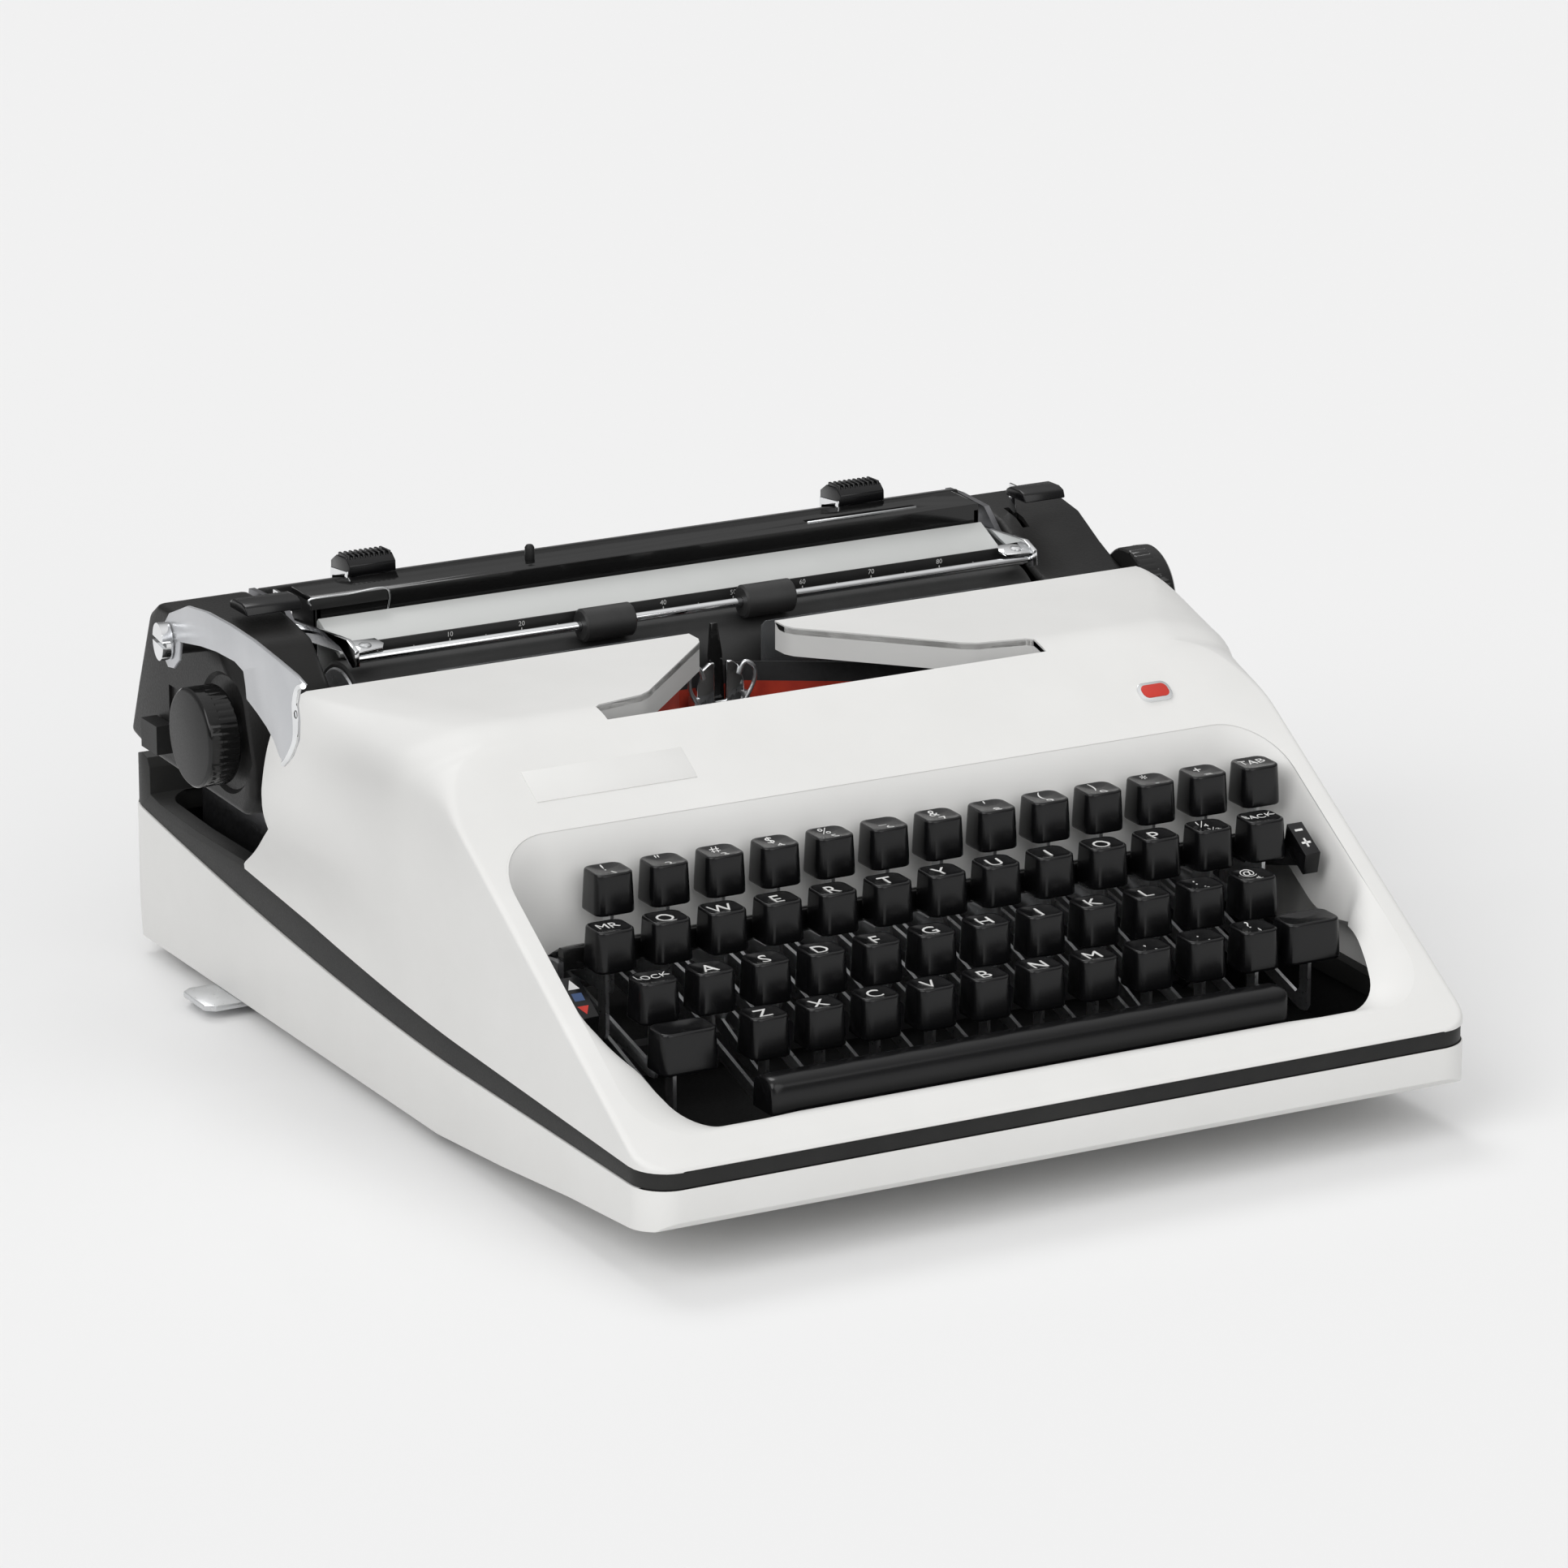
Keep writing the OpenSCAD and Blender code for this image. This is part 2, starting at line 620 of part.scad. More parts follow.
// Keys of one group as [row, place in the row]
function group_keys(g) = g == 0 ? [[0, 0], [1, 1], [2, 1]]
    : g == 11 ? [[0, 11]] : [[0, g], [3, g], [1, g + 1], [2, g + 1]];
module key_group(g) {
    keys = group_keys(g);
    color(black) {
        for (k = keys) {
            cap(key_x(k[0], k[1]), row_y[k[0]], row_z[k[0]]);
            lever(key_x(k[0], k[1]) + cap_w / 2, row_y[k[0]], row_z[k[0]], row_tip_z[k[0]]);
        }
        first = key_x(keys[0][0], keys[0][1]) + cap_w / 2;
        last = key_x(keys[len(keys) - 1][0], keys[len(keys) - 1][1]) + cap_w / 2;
        difference() {
            bar_x(first - lever_t / 2 - 0.2, last + lever_t / 2 + 0.2, fulcrum_y, fulcrum_z, hub_r);
            bar_x(first - 5, last + 5, fulcrum_y, fulcrum_z, fulcrum_r + run_fit);
        }
    }
}
module function_key(row, x, w, lever_x) {
    color(black) {
        cap(x, row_y[row], row_z[row], w);
        lever(lever_x, row_y[row], row_z[row], row_tip_z[row]);
    }
}
shift_w = 19;
module key_shift_left() { function_key(3, -117.5, shift_w, -112); }
module key_shift_right() { function_key(3, 100.5, shift_w, 110); }
module key_shift_lock() { function_key(2, key_x(2, 0), cap_w, key_x(2, 0) + cap_w / 2); }
module key_tab() { function_key(0, key_x(0, 12), cap_w, key_x(0, 12) + cap_w / 2); }
module key_back_space() { function_key(1, key_x(1, 12), cap_w, key_x(1, 12) + cap_w / 2); }
module key_margin_release() { function_key(1, key_x(1, 0), cap_w, -116); }

space_x = [-92, 88];
space_z = 50.5;
space_arm_x = [-68.65, 64.7];
module key_space_bar() {
    color(black) {
        side(space_x[0], space_x[1]) polygon([[-166.4, space_z - 12], [-166, space_z - 1.5],
            [-164, space_z], [-156, space_z], [-153, space_z - 2], [-152.6, space_z - 12]]);
        for (x = space_arm_x) lever(x, -160, space_z + 2, 32, 1);
    }
}

module place() { translate([centre_shift, 0, 0]) children(); }

place() lower_case();
place() mid_deck();
place() rubber_feet();
place() latch_tongue();
place() chassis_frame();
place() key_guide_bar();
place() carriage_rails();
place() lever_fulcrum();
place() type_guide();
place() card_holders();
place() ribbon();
place() bell();
place() top_cover();
place() cover_badge();
place() color_selector();
place() touch_control();
place() ribbon_spool_left();
place() ribbon_spool_right();
place() type_segment();
place() typebars();
place() mainspring_drum();
place() carriage_frame();
place() carriage_end_left();
place() carriage_end_right();
place() rear_rail();
place() margin_stop_left();
place() margin_stop_right();
place() paper_table();
place() paper_support();
place() platen();
place() platen_knob_left();
place() platen_knob_right();
place() ratchet_wheel();
place() feed_rollers();
place() return_lever();
place() lever_screw();
place() paper_bail();
place() bail_rollers();
place() paper_release();
place() platen_release();
place() line_space_lever();
place() key_group(0);  // key_group_01
place() key_group(1);  // key_group_02
place() key_group(2);  // key_group_03
place() key_group(3);  // key_group_04
place() key_group(4);  // key_group_05
place() key_group(5);  // key_group_06
place() key_group(6);  // key_group_07
place() key_group(7);  // key_group_08
place() key_group(8);  // key_group_09
place() key_group(9);  // key_group_10
place() key_group(10);  // key_group_11
place() key_group(11);  // key_group_12
place() key_space_bar();
place() key_shift_left();
place() key_shift_right();
place() key_shift_lock();
place() key_tab();
place() key_back_space();
place() key_margin_release();
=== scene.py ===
import bpy
import bmesh
import math
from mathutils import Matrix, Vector


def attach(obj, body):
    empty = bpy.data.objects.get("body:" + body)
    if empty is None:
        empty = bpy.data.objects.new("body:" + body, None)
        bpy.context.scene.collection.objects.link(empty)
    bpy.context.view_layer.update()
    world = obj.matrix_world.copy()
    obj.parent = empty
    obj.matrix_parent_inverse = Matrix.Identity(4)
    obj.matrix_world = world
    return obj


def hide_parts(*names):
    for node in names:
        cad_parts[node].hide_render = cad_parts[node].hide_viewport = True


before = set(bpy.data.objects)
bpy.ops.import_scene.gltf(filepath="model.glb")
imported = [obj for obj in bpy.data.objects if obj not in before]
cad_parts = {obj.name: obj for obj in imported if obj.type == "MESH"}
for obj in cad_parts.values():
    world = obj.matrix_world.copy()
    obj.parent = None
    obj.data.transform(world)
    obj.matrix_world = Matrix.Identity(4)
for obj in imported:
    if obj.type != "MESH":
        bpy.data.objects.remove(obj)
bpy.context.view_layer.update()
SHIFT = 10.1          # the machine's own centre line, in the shared frame, in mm
MM = 0.001
SLOPE = 0.605         # rise of the cover's front slope for each mm towards the back


def at(x, y, z):
    """A point of the machine in mm, in the shared frame in metres."""
    return Vector(((x + SHIFT) * MM, y * MM, z * MM))


def lerp(a, b, t):
    return a + (b - a) * t


def smooth(t):
    t = max(0.0, min(1.0, t))
    return t * t * (3 - 2 * t)


# ---- materials
def nodes_of(name):
    m = bpy.data.materials.new(name)
    m.use_nodes = True
    nt = m.node_tree
    return m, nt, nt.nodes["Principled BSDF"]


def coords(nt, scale=(1, 1, 1)):
    tc = nt.nodes.new("ShaderNodeTexCoord")
    mp = nt.nodes.new("ShaderNodeMapping")
    mp.inputs["Scale"].default_value = scale
    nt.links.new(tc.outputs["Object"], mp.inputs["Vector"])
    return mp.outputs["Vector"]


def noise(nt, vec, scale, detail=2.0, rough=0.5):
    n = nt.nodes.new("ShaderNodeTexNoise")
    n.inputs["Scale"].default_value = scale
    n.inputs["Detail"].default_value = detail
    n.inputs["Roughness"].default_value = rough
    nt.links.new(vec, n.inputs["Vector"])
    return n.outputs["Fac"]


def ramp(nt, fac, stops):
    r = nt.nodes.new("ShaderNodeValToRGB")
    el = r.color_ramp.elements
    el[0].position, el[0].color = stops[0][0], (*stops[0][1], 1)
    el[1].position, el[1].color = stops[-1][0], (*stops[-1][1], 1)
    for p, c in stops[1:-1]:
        e = el.new(p)
        e.color = (*c, 1)
    nt.links.new(fac, r.inputs["Fac"])
    return r.outputs["Color"]


def map_range(nt, fac, lo, hi, a=0.0, b=1.0):
    n = nt.nodes.new("ShaderNodeMapRange")
    for k, v in (("From Min", a), ("From Max", b), ("To Min", lo), ("To Max", hi)):
        n.inputs[k].default_value = v
    nt.links.new(fac, n.inputs["Value"])
    return n.outputs["Result"]


def bump(nt, bsdf, height, strength, distance):
    b = nt.nodes.new("ShaderNodeBump")
    b.inputs["Strength"].default_value = strength
    b.inputs["Distance"].default_value = distance
    nt.links.new(height, b.inputs["Height"])
    nt.links.new(b.outputs["Normal"], bsdf.inputs["Normal"])


def plastic(name, dark, light, rough, grain, grain_size, depth, clouds=25.0, coat=0.0, metal=0.0, spread=0.05,
            spec=0.5):
    """Moulded plastic, paint or satin metal: a fine grain in the surface and slow changes of tone and gloss."""
    m, nt, bs = nodes_of(name)
    vec = coords(nt)
    slow = noise(nt, vec, clouds, 4.0, 0.55)
    fine = noise(nt, vec, 1.0 / (grain_size * MM), 2.0, 0.6)
    nt.links.new(ramp(nt, slow, [(0.3, dark), (0.7, light)]), bs.inputs["Base Color"])
    nt.links.new(map_range(nt, fine, rough - spread, rough + spread, 0.3, 0.7), bs.inputs["Roughness"])
    bump(nt, bs, fine, grain, depth * MM)
    bs.inputs["Metallic"].default_value = metal
    bs.inputs["Specular IOR Level"].default_value = spec
    bs.inputs["Coat Weight"].default_value = coat
    bs.inputs["Coat Roughness"].default_value = 0.08
    return m


def metal(name, base, rough, wear=0.04):
    m, nt, bs = nodes_of(name)
    vec = coords(nt)
    fine = noise(nt, vec, 900.0, 3.0, 0.6)
    slow = noise(nt, vec, 60.0, 3.0, 0.6)
    dark = tuple(c * 0.86 for c in base)
    nt.links.new(ramp(nt, slow, [(0.3, dark), (0.65, base)]), bs.inputs["Base Color"])
    nt.links.new(map_range(nt, fine, max(0.02, rough - wear), rough + wear, 0.3, 0.7), bs.inputs["Roughness"])
    bump(nt, bs, fine, 0.12, 0.00004)
    bs.inputs["Metallic"].default_value = 1.0
    return m


def grey(v):
    return (v, v, v)


WHITE = plastic("white_shell", (0.715, 0.712, 0.697), (0.745, 0.742, 0.728), 0.46, 0.16, 0.55, 0.05)
# painted shade: a darker copy of the white shell, used for inside faces and for the skirt under the deck
WHITE_SHADED = plastic("white_shell_painted_shade", (0.68, 0.678, 0.665), (0.71, 0.708, 0.695), 0.5, 0.16, 0.55, 0.05)
DECK = plastic("deck_black", grey(0.014), (0.024, 0.024, 0.023), 0.48, 0.4, 0.5, 0.06, spec=0.22)
CRINKLE = plastic("black_crinkle", grey(0.010), (0.018, 0.0175, 0.017), 0.40, 0.5, 0.8, 0.12, spec=0.20)
KEY = plastic("key_black", (0.0035, 0.0035, 0.0038), (0.005, 0.005, 0.0055), 0.22, 0.0, 0.3, 0.002,
              spread=0.02, spec=0.36)
# painted shade: a near-black copy that stands in for the shade inside the white tub, not a real lining
INSIDE_SHADE = plastic("painted_shade_inside", grey(0.008), grey(0.014), 0.7, 0.2, 0.8, 0.1)
GLOSS = plastic("gloss_black", grey(0.006), grey(0.010), 0.12, 0.05, 0.8, 0.01, coat=0.15, spread=0.03, spec=0.3)
SATIN = plastic("satin_black", grey(0.014), grey(0.022), 0.40, 0.20, 0.4, 0.03, spec=0.22)
RUBBER = plastic("rubber_black", grey(0.014), grey(0.026), 0.50, 0.20, 0.35, 0.03, clouds=60)
TABLE = plastic("table_grey", (0.52, 0.53, 0.52), (0.56, 0.57, 0.56), 0.36, 0.10, 0.4, 0.02)
BLADE = plastic("lever_silver", (0.50, 0.51, 0.53), (0.57, 0.58, 0.60), 0.34, 0.10, 0.3, 0.01, metal=0.75)
CHROME = metal("chrome", (0.86, 0.87, 0.88), 0.07)
STEEL = metal("steel", (0.72, 0.73, 0.74), 0.34, wear=0.08)
STEEL_DARK = metal("steel_dark", (0.22, 0.22, 0.23), 0.38, wear=0.08)
LEGEND = plastic("legend_white", (0.62, 0.62, 0.61), (0.72, 0.72, 0.71), 0.45, 0.05, 0.5, 0.01)
RED = plastic("signal_red", (0.50, 0.022, 0.012), (0.58, 0.03, 0.016), 0.38, 0.05, 0.5, 0.01)
BLUE = plastic("signal_blue", (0.030, 0.065, 0.16), (0.04, 0.08, 0.19), 0.4, 0.05, 0.5, 0.01)


def cloth(name, dark, light):
    m, nt, bs = nodes_of(name)
    vec = coords(nt)
    w = []
    for d in ("X", "Z"):
        n = nt.nodes.new("ShaderNodeTexWave")
        n.bands_direction = d
        n.inputs["Scale"].default_value = 900.0
        n.inputs["Distortion"].default_value = 0.6
        nt.links.new(vec, n.inputs["Vector"])
        w.append(n.outputs["Fac"])
    mx = nt.nodes.new("ShaderNodeMath")
    mx.operation = "MULTIPLY"
    nt.links.new(w[0], mx.inputs[0])
    nt.links.new(w[1], mx.inputs[1])
    nt.links.new(ramp(nt, noise(nt, vec, 160.0), [(0.3, dark), (0.7, light)]), bs.inputs["Base Color"])
    bump(nt, bs, mx.outputs["Value"], 0.4, 0.00008)
    bs.inputs["Roughness"].default_value = 0.78
    bs.inputs["Sheen Weight"].default_value = 0.3
    return m


INK_RED = cloth("ribbon_red", (0.42, 0.020, 0.004), (0.56, 0.035, 0.008))
INK_BLACK = cloth("ribbon_black", (0.010, 0.010, 0.011), (0.018, 0.018, 0.019))


def clear(name):
    m, nt, bs = nodes_of(name)
    vec = coords(nt, (1, 1, 3))
    scratch = noise(nt, vec, 500.0, 5.0, 0.7)
    nt.links.new(ramp(nt, noise(nt, vec, 40.0), [(0.3, (0.10, 0.105, 0.11)), (0.7, (0.15, 0.155, 0.16))]),
                 bs.inputs["Base Color"])
    nt.links.new(map_range(nt, scratch, 0.06, 0.28, 0.35, 0.75), bs.inputs["Roughness"])
    bs.inputs["Alpha"].default_value = 0.42
    bs.inputs["IOR"].default_value = 1.49
    return m


SMOKE = clear("holder_smoke")


# ---- mesh tools
def linked(name, data):
    ob = bpy.data.objects.new(name, data)
    bpy.context.scene.collection.objects.link(ob)
    return ob


def new_object(name, me, mats, body, smooth_angle):
    ob = linked(name, me)
    for m in mats if isinstance(mats, (list, tuple)) else [mats]:
        me.materials.append(m)
    shade(ob, smooth_angle)
    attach(ob, body)
    return ob


def shade(ob, angle):
    me = ob.data
    for p in me.polygons:
        p.use_smooth = True
    me.set_sharp_from_angle(angle=math.radians(angle))


def closed_mesh(name, verts, faces):
    """Mesh data from points in mm, with every face looking outwards."""
    me = bpy.data.meshes.new(name)
    me.from_pydata([at(*v) for v in verts], [], faces)
    me.validate()
    bm = bmesh.new()
    bm.from_mesh(me)
    bmesh.ops.recalc_face_normals(bm, faces=bm.faces)
    bm.to_mesh(me)
    bm.free()
    return me


def mesh_object(name, verts, faces, mats, body, smooth_angle=35, face_mats=None):
    me = closed_mesh(name, verts, faces)
    if face_mats:
        for p, i in zip(me.polygons, face_mats):
            p.material_index = i
    return new_object(name, me, mats, body, smooth_angle)


def apply_mods(ob):
    dg = bpy.context.evaluated_depsgraph_get()
    dg.update()
    me = bpy.data.meshes.new_from_object(ob.evaluated_get(dg), depsgraph=dg)
    me.name = ob.name
    ob.modifiers.clear()
    old = ob.data
    ob.data = me
    bpy.data.meshes.remove(old)


def bevel(ob, width, segments=3, angle=30):
    m = ob.modifiers.new("bevel", "BEVEL")
    m.width = width * MM
    m.segments = segments
    m.limit_method = "ANGLE"
    m.angle_limit = math.radians(angle)
    m.use_clamp_overlap = True
    m.miter_outer = "MITER_ARC"
    apply_mods(ob)
    shade(ob, 35)


def boolean(ob, cutter, op="DIFFERENCE"):
    """Cuts ob with a cutter, which is used up."""
    m = ob.modifiers.new("bool", "BOOLEAN")
    m.operation = op
    m.solver = "EXACT"
    m.object = cutter
    bpy.context.view_layer.update()
    apply_mods(ob)
    bpy.data.objects.remove(cutter)


def raw(verts, faces):
    """A cutter: a closed mesh in mm that is used and thrown away."""
    return linked("cutter", closed_mesh("cutter", verts, faces))


def prism(outline, axis, a, b):
    """Vertices and faces of an outline of (u, v) pairs extruded from a to b along axis."""
    put = {"x": lambda u, v, w: (w, u, v), "y": lambda u, v, w: (u, w, v), "z": lambda u, v, w: (u, v, w)}[axis]
    n = len(outline)
    verts = [put(u, v, a) for u, v in outline] + [put(u, v, b) for u, v in outline]
    faces = [tuple(range(n))[::-1], tuple(range(n, 2 * n))]
    faces += [(i, (i + 1) % n, n + (i + 1) % n, n + i) for i in range(n)]
    return verts, faces


def box_mesh(lo, hi):
    return prism([(lo[0], lo[1]), (hi[0], lo[1]), (hi[0], hi[1]), (lo[0], hi[1])], "z", lo[2], hi[2])


def turn(i, n):
    """Cosine and sine of the i-th of n steps round a circle."""
    t = 2 * math.pi * i / n
    return math.cos(t), math.sin(t)


def arc(cx, cy, r, a0, a1, n=8):
    return [(cx + r * math.cos(math.radians(a0 + (a1 - a0) * i / n)),
             cy + r * math.sin(math.radians(a0 + (a1 - a0) * i / n))) for i in range(n + 1)]


def rounded(x0, y0, x1, y1, r, n=8):
    return (arc(x1 - r, y1 - r, r, 0, 90, n) + arc(x0 + r, y1 - r, r, 90, 180, n)
            + arc(x0 + r, y0 + r, r, 180, 270, n) + arc(x1 - r, y0 + r, r, 270, 360, n))


def loft(rings, capped=True):
    """Joins rings of equal length into one skin."""
    n = len(rings[0])
    verts = [p for r in rings for p in r]
    faces = []
    for k in range(len(rings) - 1):
        for i in range(n):
            j = (i + 1) % n
            faces.append((k * n + i, k * n + j, (k + 1) * n + j, (k + 1) * n + i))
    if capped:
        faces.append(tuple(range(n))[::-1])
        faces.append(tuple(range((len(rings) - 1) * n, len(rings) * n)))
    return verts, faces


def add(parts, verts, faces, mat=0):
    """Collects several simple solids into one mesh: parts is [verts, faces, material of each face]."""
    base = len(parts[0])
    parts[0].extend(verts)
    parts[1].extend(tuple(base + i for i in f) for f in faces)
    parts[2].extend([mat] * len(faces))


def spun(profile, centre, axis="x", n=48):
    """A turned piece: profile of (position along the axis, radius), closed at both ends."""
    rings = []
    for a, r in profile:
        ring = []
        for i in range(n):
            c, s = (r * k for k in turn(i, n))
            ring.append({"x": (centre[0] + a, centre[1] + c, centre[2] + s),
                         "y": (centre[0] + c, centre[1] + a, centre[2] + s),
                         "z": (centre[0] + c, centre[1] + s, centre[2] + a)}[axis])
        rings.append(ring)
    return loft(rings)


def rod(p0, p1, r, n=20, edge=0.3):
    """A straight bar with broken edges between two points."""
    p0, p1 = Vector(p0), Vector(p1)
    d = (p1 - p0).normalized()
    a = d.orthogonal().normalized()
    b = d.cross(a)
    length = (p1 - p0).length
    edge = min(edge, r * 0.5, length * 0.3)
    rings = []
    for t, rr in ((0, r - edge), (edge, r), (length - edge, r), (length, r - edge)):
        rings.append([tuple(p0 + d * t + (a * c + b * s) * rr) for c, s in (turn(i, n) for i in range(n))])
    return loft(rings)


def wire(points, r, n=12, steps=6):
    """A bent round wire through the points, with smooth bends."""
    pts = [Vector(p) for p in points]
    path = []
    for i in range(len(pts) - 1):
        a = pts[max(i - 1, 0)]
        b, c = pts[i], pts[i + 1]
        d = pts[min(i + 2, len(pts) - 1)]
        for k in range(steps):
            t = k / steps
            path.append(0.5 * ((2 * b) + (c - a) * t + (2 * a - 5 * b + 4 * c - d) * t * t
                               + (3 * b - a - 3 * c + d) * t ** 3))
    path.append(pts[-1])
    rings = []
    side = None
    for i, p in enumerate(path):
        d = (path[min(i + 1, len(path) - 1)] - path[max(i - 1, 0)]).normalized()
        if side is None:
            side = d.orthogonal().normalized()
        side = (side - d * side.dot(d)).normalized()
        up = d.cross(side)
        rings.append([tuple(p + (side * c + up * s) * r) for c, s in (turn(k, n) for k in range(n))])
    return loft(rings)


def finish_parts(name, parts, mats, body, smooth_angle=35, bevel_width=0.0, segments=2):
    ob = mesh_object(name, parts[0], parts[1], mats, body, smooth_angle, parts[2])
    if bevel_width:
        bevel(ob, bevel_width, segments, 40)
    return ob


# ---- shared lines of the case
HALF = 144.0                         # half width of the case
FRONT, BACK = -185.5, 185.5
CORNER = 12.0                        # corner radius of the case seen from above
DECK_Z = 127.4                       # flat top of the cover
CREASE_FRONT, CREASE_BACK = -38.85, -22.85
COVER_BACK = 31.5                    # rear edge of the deck


def seam(y):
    return 30 + 21 * (max(0.0, y + 60) / 244) ** 1.6


def band(y):
    return lerp(5.0, 11.5, max(0.0, min(1.0, (y - FRONT) / 230)))


def plan(inset, r, n=10):
    return rounded(-HALF + inset, FRONT + inset, HALF - inset, BACK - inset, r, n)


# ---- tub
def tub():
    ys = [FRONT + (BACK - FRONT) * i / 48 for i in range(49)]
    low = [(BACK - 11, 5.0), (-46.0, 5.0), (-90, 8.6), (-134, 13.2), (-160, 15.2), (FRONT + 3, 17.0), (FRONT, 19.6)]
    prof = [(y, seam(y) - 0.25) for y in ys] + low
    ob = mesh_object("tub_shell", *prism(prof, "x", -HALF, HALF), WHITE, "base")
    boolean(ob, raw(*prism(plan(0, CORNER, 14), "z", 0, 80)), "INTERSECT")
    bevel(ob, 3.2, 5, 24)
    inner = [(y, seam(y) + 20) for y in (FRONT + 2.6, BACK - 2.6)] + [
        (BACK - 13, 7.6), (-46.0, 7.6), (-134, 15.8), (FRONT + 9, 21), (FRONT + 2.6, 26)]
    cut = raw(*prism(inner, "x", -HALF + 2.6, HALF - 2.6))
    boolean(cut, raw(*prism(plan(2.6, 9.4), "z", -5, 95)), "INTERSECT")
    boolean(ob, cut)
    # painted shade material for the tub's inside faces
    ob.data.materials.append(INSIDE_SHADE)
    for f in ob.data.polygons:           # the inside faces are painted dark: painted shade on the white tub's inside
        c = f.center / MM
        ax, ay = max(0.0, abs(c.x - SHIFT) - HALF + CORNER), max(0.0, abs(c.y) - BACK + CORNER)
        if math.hypot(ax, ay) < 9.7 and f.normal.z > -0.2 and c.z > 7:
            f.material_index = 1
    shade(ob, 32)
    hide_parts("lower_case")


# ---- black band, rim and well
def mid_deck():
    g = 0.55       # the band sits a little inside the white shells
    ys = [FRONT + (92 - FRONT) * i / 40 for i in range(41)]
    top = [(y, seam(y) + band(y) + 0.1) for y in ys]
    rim = [(93.5, 53.6), (130, 53.3), (160, 54.4), (167.0, 55.6), (167.2, 64.5), (169, 67.6), (173, 68.4),
           (179, 66.6), (183.6, 63.2), (BACK, 60.5)]
    bottom = [(y, seam(y)) for y in (BACK - (BACK - FRONT) * i / 40 for i in range(41))]
    ob = mesh_object("deck_band", *prism(top + rim + bottom, "x", -HALF - 1, HALF + 1), DECK, "base")
    outside = rounded(-HALF + g, FRONT + g, HALF - g, BACK - g * 0.4, 11.6, 14)
    boolean(ob, raw(*prism(outside, "z", 0, 90)), "INTERSECT")
    boolean(ob, raw(*prism(rounded(-HALF + 6.2, FRONT + 4.2, HALF - 6.2, 166.9, 9, 8), "z", 0, 120)))
    bevel(ob, 0.9, 3, 28)
    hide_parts("mid_deck")
    # floor of the well behind the carriage, with its ribs and the blank plate
    p = [[], [], []]
    add(p, *box_mesh((-137.7, 84, 42), (137.7, 166.6, 44)))
    for x in (-100, -50, 0, 50, 100):
        add(p, *box_mesh((x - 0.8, 142, 43.9), (x + 0.8, 166.4, 47)))
    floor = finish_parts("deck_floor", p, DECK, "base", 35, 0.3)
    slots = [[], [], []]
    for s in (-1, 1):
        add(slots, *box_mesh((s * 127 - 1.5, 60, 30), (s * 127 + 1.5, 162, 60)))
    add(slots, *box_mesh((-115, 100, 30), (-55, 150, 60)))
    boolean(floor, raw(slots[0], slots[1]))
    shade(floor, 30)
    plate = prism(rounded(-123, 86, -88, 98, 2.5, 5), "z", 43.9, 44.5)
    rating = mesh_object("rating_plate", *plate, STEEL_DARK, "base")
    bevel(rating, 0.15, 2, 40)


def feet():
    p = [[], [], []]
    for x in (-130, 130):
        for y in (-38, 150):
            add(p, *spun([(0, 6.6), (0.5, 7.6), (3.4, 8.6), (5.2, 9.0)], (x, y, 0), "z", 32))
            add(p, *spun([(0, 2.2), (0.02, 2.2)], (x, y, 0), "z", 12))
    ob = finish_parts("feet", p, RUBBER, "base", 40)
    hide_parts("rubber_feet")
    outline = [(-HALF - 12, 100), (-HALF - 9, 97.5), (-118, 98), (-118, 118), (-HALF - 9, 118.5), (-HALF - 12, 116)]
    tongue = mesh_object("tongue", *prism(outline, "z", 2.9, 4.9), STEEL, "base")
    bevel(tongue, 0.3, 2, 25)
    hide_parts("latch_tongue")


# ---- cover
def panel_z(y):
    return 114 + SLOPE * (y + 53)


def cover_top(y):
    """Height of the cover's middle line: lip, slope, crease, deck."""
    if y > CREASE_BACK:
        return DECK_Z
    slope = panel_z(y)
    if y > CREASE_FRONT:             # soft crease between the slope and the deck
        return slope - SLOPE * (y - CREASE_FRONT) ** 2 / (2 * (CREASE_BACK - CREASE_FRONT))
    if y > -176:
        return slope
    lip = ((-176, panel_z(-176)), (-181, 37.6), (-183.6, 36.9), (-185.0, 36.3), (FRONT, 35.5))
    for (y0, z0), (y1, z1) in zip(lip, lip[1:]):
        if y >= y1:
            return lerp(z0, z1, (y0 - y) / (y0 - y1))
    return 35.5


def rear_y(z):
    """The cover's rear edge seen from the side."""
    pts = [(50, 92.5), (53.8, 91.5), (80.5, 43), (92.4, 37.7), (107, 34.8), (120, 32.6), (DECK_Z, COVER_BACK)]
    for (z0, y0), (z1, y1) in zip(pts, pts[1:]):
        if z <= z1:
            return lerp(y0, y1, (z - z0) / (z1 - z0))
    return COVER_BACK


